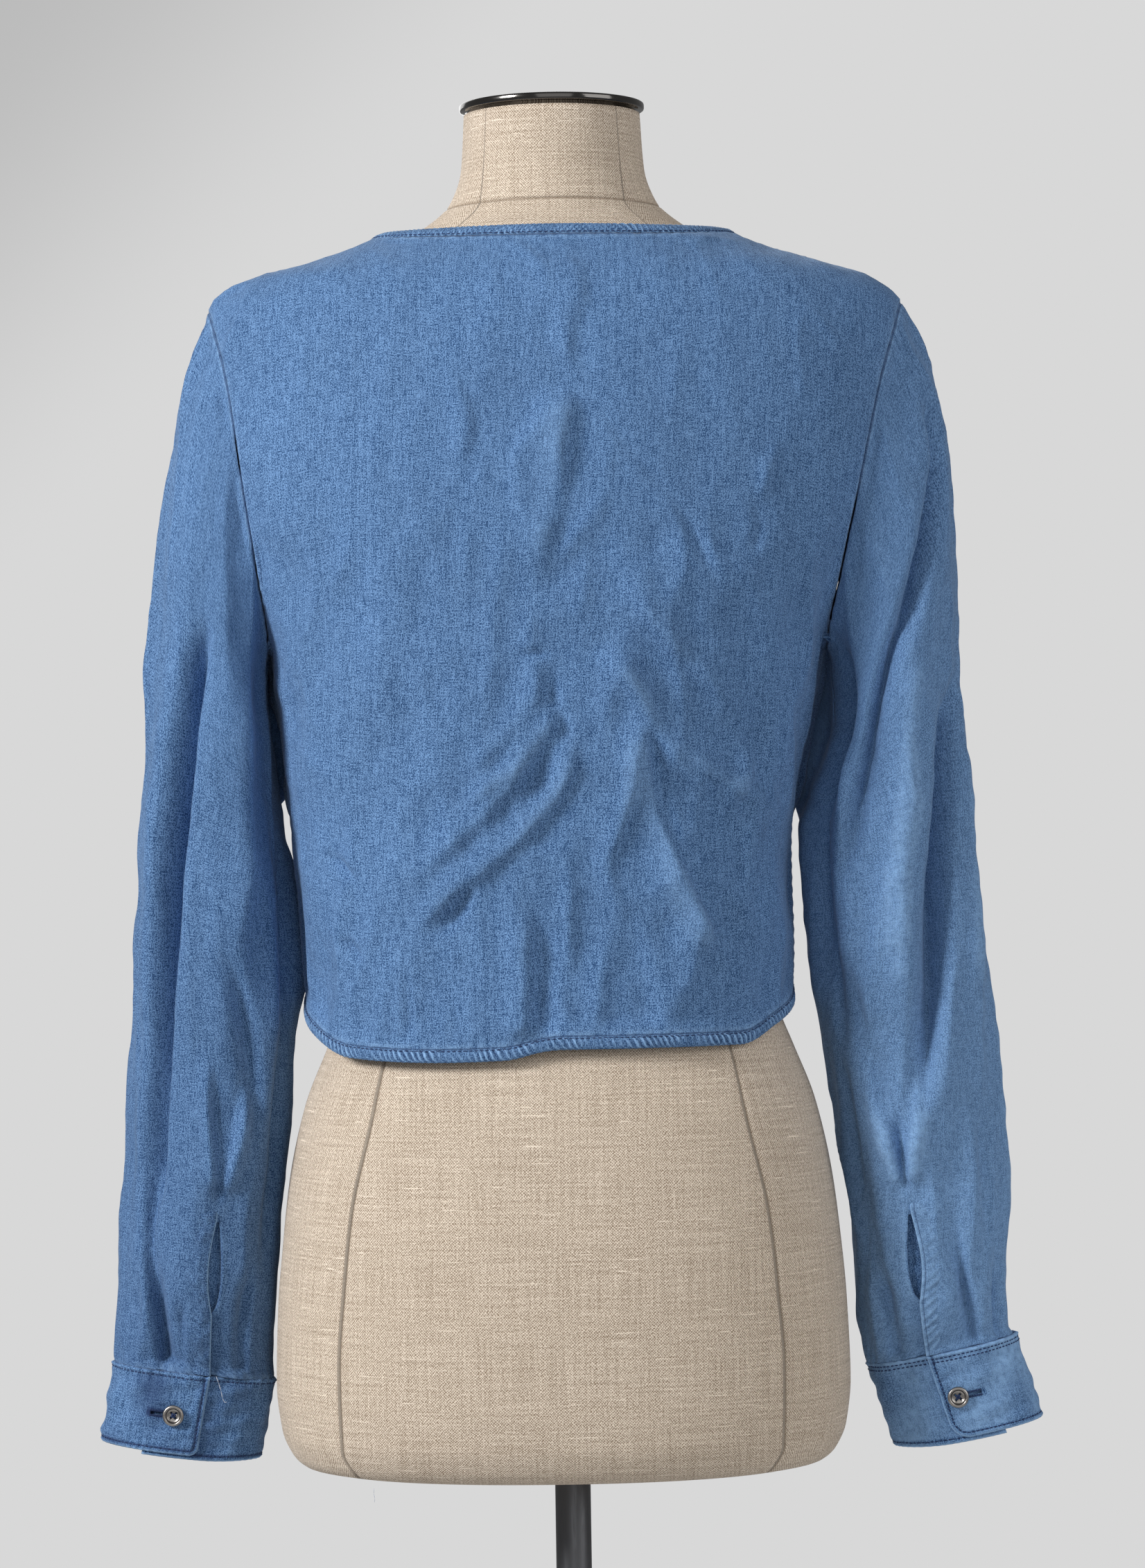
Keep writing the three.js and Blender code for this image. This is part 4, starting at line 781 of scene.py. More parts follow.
strip = {
    "width": 11, "wall": 1.0, "lift": 0.35, "under": -0.3, "merge": (0.5, 7), "edge": 0.4, "above": 0.008,
    "end": 0.997, "columns": 16, "rows": 96, "flat": (9, 90), "uneven": (0.7, 11),
    "pucker": (0.42, 5.2, 0.8), "rumple": (0.3, 9), "edgeRoll": (0.55, 1.3), "topRoll": (1.9, 4),
    "calmSides": 2, "calmEnds": 4, "edgeWorn": (0.5, 1.6), "ridgeWorn": 0.3,
}


def stripShape(name, hand):
    def shape(u, v):
        u, v = crowded(u), crowded(v)
        down = mixed(sleeve["slitTop"] - strip["above"], strip["end"], v)
        wide, long = strip["flat"]
        (uneven, size), (pucker, pitch, slant) = strip["uneven"], strip["pucker"]
        flat = np.stack([v * long, u * wide], -1)
        uneven = uneven * softNoise(flat, size, seeds["slitEdge"] + hand) * ramp(u, 0.3, 1)
        edge = sleeve["slitHalf"] * np.sin(slitShare(down) * halfTurn) + strip["edge"]
        span = edge + (strip["width"] + uneven) * u
        degrees = sleeve["slitAngle"] - span / sleeve["millimetresPerDegree"]
        points, normals, relief = sleeveCloth(name, hand, degrees, down)
        across, along = runsFrom(points, 1), runsFrom(points, 0)
        farSide = across[:, -1:] - across
        fromEdge, fromEnd = np.minimum(across, farSide), np.minimum(along, along[-1:] - along)
        relief += mixed(strip["under"], strip["lift"] + strip["wall"], ramp(farSide, *strip["merge"]))
        wave = puckers(along, across, pitch, slant, seeds["strip"] + hand)
        bumps = pucker * wave + strip["rumple"][0] * softNoise(points, strip["rumple"][1], seeds["stripRumple"])
        relief += bumps * ramp(fromEdge, 0, strip["calmSides"]) * ramp(fromEnd, 0, strip["calmEnds"])
        for (roll, reach), distance in ((strip["edgeRoll"], fromEdge), (strip["topRoll"], along)):
            relief -= roll * (1 - ramp(distance, 0, reach))
        points = points + normals * relief[..., None]
        worn, reach = strip["edgeWorn"]
        # rubbed paler at the slit's edge and on pucker crests, plus the sleeve's painted light and shade at the cuff
        wearAndPaintedLight = worn * (1 - ramp(across, 0, reach)) + strip["ridgeWorn"] * ramp(wave, 0.2, 1) + sleeve["paintedLightAndShade"][name][1]
        return points, np.stack([across, along], -1), {"turned": across + 0.5, "wearAndPaintedLight": wearAndPaintedLight}

    return shape


# Cuffs: one band each, its ends overlapping at the buttoned side.
cuffs = {
    # the left cuff is painted darker, as painted shade, and the right one paler, as painted light
    "left": {"bottom": (221, 717.5), "buttonAngle": 83, "rows": (2.6,), "paintedLightAndShade": -0.26, "corner": 5},
    "right": {"bottom": (224.1, 720.8), "buttonAngle": 91, "rows": (2.6, 4.6), "paintedLightAndShade": 0.4, "corner": 10},
}
cuff = {
    "overSeam": 0.7, "underAngle": 62, "overAngle": 104, "underDrop": 2.5, "tuckAngles": (4, 70),
    "wall": 2.2, "buttonDown": 0.52, "columns": 216, "rows": 34, "hole": (6.6, 0.8), "holeShift": 7.4,
    "stitchInset": 2.7, "sharpest": 0.05, "holeRows": (18, 19), "edgeRows": (5, 30), "edgeWidth": 2.6,
    "edgeColumns": ((12, 5), (72, 46)),  # closer columns near the end on top: column and length
    # Relief in millimetres: height and width, with a pitch, slant or place where there is one.
    "puff": 0.35, "edgeRoll": (0.95, 1.3), "sewn": (0.5, 0.9), "topRidge": (0.55, 0.8, 1.2),
    "topGroove": (0.3, 0.7, 2.7), "topPuckers": (0.5, 6, 5.6, 0.15), "edgePuckers": (0.4, 5, 4.4, 0.3),
    "rumple": (0.85, 11, 0.6), "besideEnd": (1.1, 6, 6.5, 0.4, 5), "calm": (4, 12),
    # Dye: paler along the top, darker along the stitches and round the buttonhole.
    "paler": (0.35, 0.9, 1.1), "darker": (0.5, 0.7), "uneven": (0.25, 26), "holeDye": (0.5, 2.2, 9),
}


def cuffPoint(name, hand, degrees, down):
    outerX, outerZ, innerX, innerZ, depth, middle = (sleeveSections[name][key][-1] for key in sleeveKeys)
    turn = np.radians(degrees)
    middleX = mixed((outerX + innerX) / 2, cuffs[name]["bottom"][0], down)
    middleZ = mixed((outerZ + innerZ) / 2, cuffs[name]["bottom"][1], down)
    x = middleX + (outerX - innerX) / 2 * np.cos(turn)
    z = middleZ + (outerZ - innerZ) / 2 * np.cos(turn) + cuff["overSeam"]
    return np.stack(np.broadcast_arrays(hand * x, middle + depth * np.sin(turn), z), -1)


def cuffNormal(name, hand, degrees):
    aside = cuffPoint(name, hand, degrees + 0.1, 0.5) - cuffPoint(name, hand, degrees - 0.1, 0.5)
    down = cuffPoint(name, hand, degrees, 1) - cuffPoint(name, hand, degrees, 0)
    return hand * unit(np.cross(aside, down)) * -1


def cuffLayout(name, hand):  # angles at the columns, lengths from the end on top, and the height
    degrees = np.linspace(cuff["overAngle"] + 360, cuff["underAngle"], 1601)
    runs = runsFrom(cuffPoint(name, hand, degrees, 0.5)[None], 1)[0]
    columns, places = zip((0, 0), *cuff["edgeColumns"], (cuff["columns"], runs[-1]))
    lengths = np.interp(np.arange(cuff["columns"] + 1), columns, places)
    height = np.linalg.norm(cuffPoint(name, hand, 0, 0) - cuffPoint(name, hand, 0, 1))
    return np.interp(lengths, runs, degrees), lengths, height


def cuffRows(height):  # grid rows, closer at the edges and the buttonhole, and their lengths from the top
    hole, half, edge = cuff["buttonDown"] * height, cuff["hole"][1], cuff["edgeWidth"]
    rows = [0, cuff["edgeRows"][0], *cuff["holeRows"], cuff["edgeRows"][1], cuff["rows"]]
    return rows, [0, edge, hole - half, hole + half, height - edge, height]


def cornerRise(name, lengths):  # how far the rounded corner lifts the lower edge
    corner = cuffs[name]["corner"]
    reach = np.clip(corner - lengths, 0, corner - cuff["sharpest"])
    return corner - np.sqrt(corner ** 2 - reach ** 2)


def cuffShape(name, hand):
    def shape(u, v):
        degrees, lengths, height = cuffLayout(name, hand)
        corner, hole = cuffs[name]["corner"], cuff["buttonDown"] * height
        share = np.interp(np.arange(v.shape[0]), *cuffRows(height)) / height
        degrees, lengths, down = degrees[None] + 0 * u, lengths[None] + 0 * u, share[:, None] + 0 * u
        tuck = 1 - ramp(degrees, *(cuff["overAngle"] + angle for angle in cuff["tuckAngles"]))
        bottom = 1 + (tuck * cuff["underDrop"] - cornerRise(name, lengths)) / height
        points = cuffPoint(name, hand, degrees, down * bottom)
        normals = cuffNormal(name, hand, degrees)
        fromStart, fromTop = lengths[:, [-1]] - lengths, down * bottom * height
        fromBottom = (1 + tuck * cuff["underDrop"] / height) * height - fromTop
        atCorner = (lengths < corner) & (fromBottom < corner)
        fromCurve = corner - np.hypot(corner - lengths, corner - fromBottom)
        edge = np.where(atCorner, fromCurve, np.minimum(np.minimum(lengths, fromBottom), fromStart))
        relief = cuff["puff"] - tuck * (cuff["wall"] + blouse["seamGap"])
        rise, width = cuff["edgeRoll"]
        relief -= rise * (1 - ramp(np.minimum(edge, fromTop + 0.4), 0, width))
        relief -= cuff["sewn"][0] * bell(edge - cuff["stitchInset"], cuff["sewn"][1])
        for sign, (rise, width, middle) in ((1, cuff["topRidge"]), (-1, cuff["topGroove"])):
            relief += sign * rise * bell(fromTop - middle, width)
        rise, reach, pitch, slant = cuff["topPuckers"]
        relief += rise * puckers(lengths, fromTop, pitch, slant, seeds["cuffTop"] + hand) * np.exp(-fromTop / reach)
        rise, reach, pitch, slant = cuff["edgePuckers"]
        relief += rise * puckers(lengths, fromBottom, pitch, slant, seeds["cuffEdge"] + hand) * np.exp(-edge / reach)
        rise, size, squeeze = cuff["rumple"]
        flat = np.stack([lengths * squeeze, fromTop], -1)
        relief += rise * softNoise(flat, size, seeds["cuffRumple"] + hand) * ramp(edge, 1, 6)
        rise, width, pitch, slant, middle = cuff["besideEnd"]
        beside = bell(lengths - middle, width) * ramp(fromTop, *cuff["calm"]) * ramp(fromBottom, *cuff["calm"])
        relief += rise * beside * puckers(fromTop, lengths, pitch, slant, seeds["cuffEnd"] + hand)
        points = points + normals * relief[..., None]
        paler, width, middle = cuff["paler"]
        # painted light on the right cuff and painted shade on the left one, and rubbed paler along the top
        wearAndPaintedLight = cuffs[name]["paintedLightAndShade"] + paler * bell(fromTop - middle, width)
        wearAndPaintedLight -= cuff["darker"][0] * bell(edge - cuff["stitchInset"], cuff["darker"][1])
        wearAndPaintedLight += cuff["uneven"][0] * softNoise(points, cuff["uneven"][1], seeds["cuffDye"])
        darker, width, reach = cuff["holeDye"]
        wearAndPaintedLight -= darker * bell(fromTop - hole, width) * (np.abs(lengths - holeMiddle(name, hand)) < reach)
        return points, np.stack([lengths, fromTop], -1), {"turned": edge, "wearAndPaintedLight": wearAndPaintedLight}

    return shape


def holeMiddle(name, hand):  # length from the end on top to the middle of the buttonhole
    degrees, lengths, _ = cuffLayout(name, hand)
    button = np.interp(cuffs[name]["buttonAngle"] + 360, degrees[::-1], lengths[::-1])
    return button + cuff["holeShift"]


def holeFaces(name, hand):
    _, lengths, _ = cuffLayout(name, hand)
    middle = holeMiddle(name, hand)

    def inside(u, v):
        at = np.interp(u * cuff["columns"], np.arange(len(lengths)), lengths)
        return abs(at - middle) < cuff["hole"][0] and cuff["holeRows"][0] < v * cuff["rows"] < cuff["holeRows"][1]

    return inside


# The dress form, eight panels of linen round.
formSections = tableOf("z half shift back front power", [
    (708, 135, 4.2, 84, 76, 2.2), (710.5, 146, 4.2, 92, 84, 2.2), (717, 153, 4.2, 98.5, 90, 2.2),
    (730, 158.5, 4.2, 104, 94, 2.2), (755, 161.3, 4.2, 107, 96, 2.2),
    (800, 159.8, 4.2, 108, 97, 2.2), (832, 157, 4, 107, 97, 2.2), (870, 152.5, 4, 103, 96, 2.2),
    (911, 143.5, 3.8, 96, 94, 2.2), (943, 131, 3.5, 88, 90, 2.2), (960, 124, 3.2, 83, 87, 2.2),
    (990, 117, 3, 77, 84.5, 2.2), (1017, 115.5, 2.5, 75, 84, 2.2), (1060, 119, 2, 79, 90, 2.2),
    (1107, 127, 1.5, 87, 105, 2.2), (1140, 132, 1, 93, 118, 2.2), (1180, 138, 0.5, 98.5, 126, 2.15),
    (1210, 146, 0, 101, 124, 2.1), (1260, 160, 0, 101.5, 114, 2.1), (1310, 174, 0, 98, 98, 2.05),
    (1337, 180, 0, 93, 90, 2), (1353.4, 179, 0, 87, 83.5, 2), (1364.6, 170, 0, 81.5, 78.5, 2),
    (1373.6, 151, 0, 76.5, 74.5, 2), (1382.6, 126, 0, 70.5, 70.5, 2), (1393.2, 95, 0, 63, 64.5, 2),
    (1402, 75, 0, 58.5, 61, 2), (1417, 58, 0, 54.5, 55.5, 2), (1436, 51.5, 0, 51, 51.5, 2),
    (1466.5, 49.5, 0, 49.5, 49.5, 2),
])
princess = tableOf("z x", [  # distance of the seams from the middle of the body
    (708, 112), (725, 121), (770, 122), (811, 119), (857, 114), (905, 103), (938, 96), (1017, 72),
    (1180, 85), (1353, 92), (1393, 60), (1413.5, 40), (1467, 36),
])
form = {
    "perPanel": 44, "rows": 230, "neckSeam": 1413.5,
    "slimmer": 2.2, "under": (975, 1010, 1392, 1404),  # a little slimmer where the blouse hides it
    "rowPlaces": ([0, 5, 12, 20, 190, 198, 206, 218, 230], [708, 710.5, 717, 732, 1402, 1411, 1416, 1436, 1466.5]),
    "seams": (1, 1, 0, 1, 1, 1, 0, 1, 1), "panels": ((0, 1), (1, 3), (3, 4), (4, 5), (5, 7), (7, 8)),
    "seamEnds": (8, 1396, 1404), "slope": 1.05, "seamSunk": (0.5, 1.6),
}
panelCount = len(form["seams"]) - 1


def formPoint(degrees, z):  # 0 is the left side, 90 the back
    turn = np.radians(degrees)
    half, shift, power, behind, ahead = (lookUp(formSections, "z", key, z)
                                         for key in ("half", "shift", "power", "back", "front"))
    depth = np.where(np.sin(turn) > 0, behind, ahead)
    hidden = form["slimmer"] * ramp(z, *form["under"][:2]) * (1 - ramp(z, *form["under"][2:]))
    x = shift + (half - hidden) * signedPower(np.cos(turn), 2 / power)
    return np.stack([x, (depth - hidden) * signedPower(np.sin(turn), 2 / power), z], -1)


def formShape(u, v):
    spread = np.interp(np.arange(form["rows"] + 1), *form["rowPlaces"])
    spread[np.argmin(np.abs(spread - form["neckSeam"]))] = form["neckSeam"]
    z = spread[:, None] + 0 * u
    half, power = lookUp(formSections, "z", "half", z), lookUp(formSections, "z", "power", z)
    seam = np.degrees(np.arccos((lookUp(princess, "z", "x", z) / half) ** (power / 2)))
    knots = np.stack([0 * seam, seam, 0 * seam + 90, 180 - seam, 0 * seam + 180, 180 + seam,
                      0 * seam + 270, 360 - seam, 0 * seam + 360], -1)
    place = u * panelCount
    panel = np.minimum(place.astype(int), panelCount - 1)
    low, high = stepOf(knots, panel)
    points = formPoint(mixed(low, high, place - panel), z)
    normals = normalsOf(points, axisCore(points), wrapAcross=True)
    runs = runsFrom(points, 1)
    fromSeam, pattern = np.full(u.shape, 1e3), runs.copy()
    for k, sewn in enumerate(form["seams"]):
        if sewn:
            fromSeam = np.minimum(fromSeam, np.abs(runs - runs[:, [k * form["perPanel"]]]))
    for start, end in form["panels"]:  # each panel's own straight grain
        columns = slice(start * form["perPanel"], end * form["perPanel"] + 1)
        pattern[:, columns] = runs[:, columns] - runs[:, [(start + end) * form["perPanel"] // 2]]
    below, (away, start, end), (sunk, width) = z <= form["neckSeam"], form["seamEnds"], form["seamSunk"]
    fromRing = np.abs(z - form["neckSeam"]) * form["slope"]
    fromSeam = np.where(below, np.minimum(fromSeam + away * ramp(z, start, end), fromRing), fromRing)
    points = points - normals * (sunk * (1 - ramp(fromSeam, 0, width)))[..., None]
    down = np.broadcast_to(runsFrom(points, 0).mean(1, keepdims=True), u.shape)
    return points, np.stack([pattern, down], -1), {"seam": fromSeam}


# Metal pieces, turned from a profile of radius and height.
stand = {
    "cap": [(0, 1466.8), (47.4, 1466.8), (48, 1467), (48, 1468.3), (49.2, 1468.6), (51.2, 1468.7), (51.8, 1469.1),
            (52, 1469.7), (52, 1471.4), (51.8, 1472.1), (51.2, 1472.5), (50.2, 1472.7), (49.4, 1472.5),
            (48.6, 1472.5), (46, 1472.7), (20, 1473), (0, 1473)],
    "pole": [(0, 54.6), (9.4, 54.6), (10, 55.2), (10, 706.4), (9.6, 707.7), (0, 707.7)],
    "hub": [(0, 8.3), (33.4, 8.3), (34, 8.9), (34, 12.4), (33.2, 13.2), (27, 15), (22.5, 18), (19.6, 22.6), (18.4, 30),
            (17.4, 44), (17, 50), (16.4, 52.6), (15, 54.3), (10.6, 54.3), (0, 54.3)],
    "base": [(0, 0), (186, 0), (188.6, 0.4), (189.8, 1.4), (190, 2.4), (190, 4.8), (189.6, 5.8), (188.6, 6.6),
             (187, 7), (184, 7.3), (178, 8), (60, 8), (0, 8)],
}
button = {
    "profile": [(0, 0), (4.4, 0), (5.3, 0.4), (5.8, 1.1), (6, 2), (5.85, 2.6), (5.4, 3.05), (4.9, 3.2), (4.45, 3.05),
                (4.15, 2.5), (3.85, 1.7), (3.3, 1.25), (2, 1.08), (0, 1.05)],
    "holes": (1.15, 0.72), "lift": 0.6, "steps": 56, "holeSteps": 14, "drill": 8, "aside": 5, "threadUp": 1.35,
    "threads": (0.22, 0.6),  # distance of a pair from its middle, and radius
}


def turnedMesh(name, profile, steps, place=None):
    bm = bmesh.new()
    chain = [bm.verts.new((radius * milli, 0, height * milli)) for radius, height in profile]
    for low, high in zip(chain, chain[1:]):
        bm.edges.new((low, high))
    bmesh.ops.spin(bm, geom=bm.verts[:] + bm.edges[:], cent=(0, 0, 0), axis=(0, 0, 1), angle=2 * halfTurn,
                   steps=steps, use_merge=True)
    bmesh.ops.remove_doubles(bm, verts=bm.verts, dist=sameSpot)
    bmesh.ops.recalc_face_normals(bm, faces=bm.faces)
    if place:
        bmesh.ops.transform(bm, matrix=place, verts=bm.verts)
    mesh = bpy.data.meshes.new(name)
    bm.to_mesh(mesh)
    bm.free()
    return mesh


def frameAt(point, normal, along):  # a matrix whose z is the normal and whose x runs along
    z = Vector(normal).normalized()
    x = Vector(along) - Vector(along).dot(z) * z
    x.normalize()
    turn = Matrix((x, z.cross(x), z)).transposed().to_4x4()
    return Matrix.Translation(Vector(point) * milli) @ turn


def buttonMesh(name, place):
    mesh = turnedMesh(name, button["profile"], button["steps"])
    body = bpy.data.objects.new(name + "Blank", mesh)
    bm = bmesh.new()
    away, radius = button["holes"]
    for x, y in ((away, away), (-away, away), (-away, -away), (away, -away)):
        bmesh.ops.create_cone(bm, cap_ends=True, segments=button["holeSteps"], radius1=radius * milli,
                              radius2=radius * milli, depth=button["drill"] * milli,
                              matrix=Matrix.Translation((x * milli, y * milli, milli)))
    drill = bpy.data.objects.new(name + "Drill", bpy.data.meshes.new(name + "Drill"))
    bm.to_mesh(drill.data)
    bm.free()
    for part in (body, drill):
        bpy.context.scene.collection.objects.link(part)
    cut = body.modifiers.new("holes", "BOOLEAN")
    cut.operation, cut.object, cut.solver = "DIFFERENCE", drill, "EXACT"
    shown = body.evaluated_get(bpy.context.evaluated_depsgraph_get())
    drilled = bpy.data.meshes.new_from_object(shown)
    for part in (body, drill):
        bpy.data.objects.remove(part)
    drilled.transform(place)
    return drilled


bm = bmesh.new()
bmesh.ops.create_uvsphere(bm, u_segments=6, v_segments=5, radius=1, matrix=Matrix.Rotation(halfTurn / 2, 4, "Y"))
rodBlank = bpy.data.meshes.new("rodBlank")
bm.to_mesh(rodBlank)
bm.free()
rodFlat = 0.8  # pressed a little into the cloth


def addRod(bm, start, end, radius, up=None):  # a slim rounded rod: one stitch or bit of thread
    start, end = Vector(start), Vector(end)
    along = end - start
    up = Vector(up) if up is not None else along.orthogonal()
    size = Matrix.Diagonal((along.length / 2 * milli, radius * milli, radius * rodFlat * milli, 1))
    rod = rodBlank.copy()
    rod.transform(frameAt((start + end) / 2, up, along) @ size)
    bm.from_mesh(rod)
    bpy.data.meshes.remove(rod)


def stitchRow(bm, path, normals, look):  # running stitches, each a little sunk at its ends
    runs = runsFrom(path[None], 1)[0]
    pitch, length, radius = look
    for at in np.arange(pitch / 2, runs[-1] - pitch / 3, pitch):
        ends = [np.array([np.interp(at + shift, runs, path[:, i]) for i in range(3)])
                for shift in (-length / 2, length / 2)]
        up = normals[min(int(np.searchsorted(runs, at)), len(normals) - 1)]
        addRod(bm, ends[0], ends[1], radius, up)


def sampled(grid, columns, rows):  # points of a grid at fractional columns and rows
    c, r = np.clip(columns, 0, grid.shape[1] - 1.001), np.clip(rows, 0, grid.shape[0] - 1.001)
    c0, r0 = c.astype(int), r.astype(int)
    fc, fr = (c - c0)[..., None], (r - r0)[..., None]
    return mixed(mixed(grid[r0, c0], grid[r0, c0 + 1], fc), mixed(grid[r0 + 1, c0], grid[r0 + 1, c0 + 1], fc), fr)


# Materials.
def toLinear(colour):
    parts = [int(colour[i:i + 2], 16) / 255 for i in (1, 3, 5)]
    return (*(part / 12.92 if part <= 0.04045 else ((part + 0.055) / 1.055) ** 2.4 for part in parts), 1)


def addNode(tree, kind, inputs=None, **settings):
    node = tree.nodes.new("ShaderNode" + kind)
    for name, value in settings.items():
        setattr(node, name, value)
    for key, value in (inputs or {}).items():
        if isinstance(value, bpy.types.Node):
            value = value.outputs[0]
        if isinstance(value, bpy.types.NodeSocket):
            tree.links.new(value, node.inputs[key])
        else:
            node.inputs[key].default_value = value
    return node


def newMaterial(name, finish):
    material = bpy.data.materials.new(name)
    material.use_nodes = True
    tree = material.node_tree
    tree.nodes.clear()
    shader = addNode(tree, "BsdfPrincipled", finish)
    addNode(tree, "OutputMaterial", {"Surface": shader})
    return material, tree, shader


def clothPatterns(tree, uv, patterns):  # uneven marks on the cloth, each of its own size
    patternNodes = {}
    for key, (width, length, detail) in patterns.items():
        scaled = addNode(tree, "Mapping", {"Vector": uv, "Scale": (1 / width / milli, 1 / length / milli, 1)})
        patternNodes[key] = addNode(tree, "TexNoise", {"Vector": scaled, "Scale": 1, "Detail": detail},
                                    noise_dimensions="2D")
    return patternNodes


denim = {
    "dark": "#1f426d", "light": "#7095c2", "pale": "#8db3dd", "navy": "#1f3157", "sheen": "#c9dcf2",
    # Width across, length down the cloth in millimetres, and detail. The real twill's threads are 0.4 mm
    # apart, which is too fine to show, so the grain is drawn a little coarser.
    "patterns": {"grain": (0.6, 0.8, 2), "warp": (0.9, 9, 2), "weft": (10, 0.9, 2), "streak": (3, 70, 2),
                 "mottle": (2.5, 3, 2), "wash": (45, 75, 3), "bunch": (3.6, 3.6, 1), "rumple": (9, 12, 2)},
    "shares": {"grain": 1.15, "warp": 0.36, "weft": 0.24, "streak": 0.12, "mottle": 0.16},
    "threadRange": (0.32, 0.68), "washDepth": 0.12, "halo": 0.38, "edge": 0.8, "groove": 0.55, "line": 0.6,
    "grainBump": 0.10, "puckerBump": 0.34, "crumpleBump": 0.12,
    "washRange": (0.25, 0.75), "bunchRange": (0.3, 0.7), "patchy": (0.5, 0.6),
    # Where each mask starts and ends, in millimetres from a seam or a turned edge, or in shares of wear and painted
    # light; the rubbed mask takes rubbed wear and painted light, the shaded mask darker cloth and painted shade.
    "masks": {"seamLine": ("seam", 1.0, 0.25), "halo": ("seam", 4.2, 1.2), "edge": ("turned", 1.5, 0.5),
              "inside": ("turned", 2.2, 2.7), "outside": ("turned", 3.3, 2.7), "rubbed": ("wearAndPaintedLight", 0, 1),
              "shaded": ("wearAndPaintedLight", 0, -1), "nearSeam": ("seam", 8, 0.5), "nearEdge": ("turned", 9, 2)},
}


# Washed lyocell denim, yarn-dyed and twill woven: matt, streaked along the warp, with paler rubbed edges and darker
# cloth in the seams, and painted light and shade brought in by the wear field. The pattern lies on the cloth's UV map,
# in metres.
def denimMaterial(name, darker):
    material, tree, shader = newMaterial(name, {"Roughness": 0.86, "Specular IOR Level": 0.22, "Sheen Weight": 0.18,
                                                "Sheen Roughness": 0.45, "Sheen Tint": toLinear(denim["sheen"])})
    uv = addNode(tree, "UVMap", uv_map="cloth")
    values = {key: noise.outputs[0] for key, noise in clothPatterns(tree, uv, denim["patterns"]).items()}
    threads = 0.5
    for key, share in denim["shares"].items():
        centred = addNode(tree, "Math", {0: values[key], 1: 0.5}, operation="SUBTRACT")
        threads = addNode(tree, "Math", {0: centred, 1: share, 2: threads}, operation="MULTIPLY_ADD")
    low, high = denim["threadRange"]
    spread = addNode(tree, "MapRange", {"Value": threads, "From Min": low, "From Max": high})
    colour = addNode(tree, "Mix", {0: spread, 6: toLinear(denim["dark"]), 7: toLinear(denim["light"])},
                     data_type="RGBA").outputs[2]
    low, high = denim["washRange"]
    brightness = addNode(tree, "MapRange", {"Value": values["wash"], "From Min": low, "From Max": high,
                                            "To Min": darker - denim["washDepth"] / 2,
                                            "To Max": darker + denim["washDepth"] / 2})
    colour = addNode(tree, "Mix", {0: 1, 6: colour, 7: brightness}, data_type="RGBA", blend_type="MULTIPLY").outputs[2]
    for field in ("seam", "turned", "wearAndPaintedLight"):
        values[field] = addNode(tree, "Attribute", attribute_name=field).outputs["Fac"]
    masks = {key: addNode(tree, "MapRange", {"Value": values[field], "From Min": start, "From Max": end},
                          interpolation_type="SMOOTHSTEP").outputs[0]
             for key, (field, start, end) in denim["masks"].items()}
    low, high = denim["bunchRange"]
    uneven = addNode(tree, "MapRange", {"Value": values["bunch"], "From Min": low, "From Max": high})
    values.update(masks, threads=threads.outputs[0], uneven=uneven.outputs[0])
    for key, operation, *inputs in (  # names stand for earlier results
            ("halo", "MULTIPLY", "halo", "uneven"), ("halo", "MULTIPLY", "halo", denim["halo"]),
            ("edge", "MULTIPLY", "edge", denim["edge"]), ("patchy", "MULTIPLY_ADD", "uneven", *denim["patchy"]),
            ("rubbed", "MULTIPLY", "rubbed", "patchy"), ("pale", "MAXIMUM", "halo", "edge"),
            ("pale", "MAXIMUM", "pale", "rubbed"), ("groove", "MULTIPLY", "inside", "outside"),
            ("groove", "MULTIPLY", "groove", denim["groove"]), ("line", "MULTIPLY", "seamLine", denim["line"]),
            ("deep", "MAXIMUM", "groove", "line"), ("deep", "MAXIMUM", "deep", "shaded"),
            ("near", "MAXIMUM", "nearSeam", "nearEdge"), ("near", "MULTIPLY", "near", denim["puckerBump"]),
            ("height", "MULTIPLY", "threads", denim["grainBump"]),
            ("height", "MULTIPLY_ADD", "bunch", "near", "height"),
            ("height", "MULTIPLY_ADD", "rumple", denim["crumpleBump"], "height")):
        values[key] = addNode(tree, "Math", {i: values.get(value, value) for i, value in enumerate(inputs)},
                              operation=operation).outputs[0]
    # pale takes rubbed wear and painted light, navy takes the seams and painted shade
    for mask, tint in (("pale", "pale"), ("deep", "navy")):
        colour = addNode(tree, "Mix", {0: values[mask], 6: colour, 7: toLinear(denim[tint])},
                         data_type="RGBA").outputs[2]
    tree.links.new(colour, shader.inputs["Base Color"])
    bump = addNode(tree, "Bump", {"Height": values["height"], "Strength": 1, "Distance": milli})
    tree.links.new(bump.outputs[0], shader.inputs["Normal"])
    return material


linen = {
    "ground": "#8a7763", "thread": "#f0e1cf", "seam": "#7a6650",
    "pitch": 1.55, "wobble": 1.5, "bump": 0.16,  # real threads are 0.8 mm apart and would not show
    "patterns": {"wobble": (6, 6, 2), "fluff": (1.1, 1.1, 3), "warp": (1.3, 50, 2), "weft": (50, 1.3, 2),
                 "slub": (24, 1.2, 1)},
    "weave": (-0.7, 0.8), "shares": {"crown": 0.5, "fluff": 0.8, "warp": 0.26, "weft": 0.28},
    "threadRange": (0.34, 0.96), "slubRange": (0.72, 0.84), "slub": 0.6,
    "seamLine": (1.0, 0.2, 0.5), "seamSunk": (1.3, 0, -0.5),  # from and to, in millimetres, and depth
}


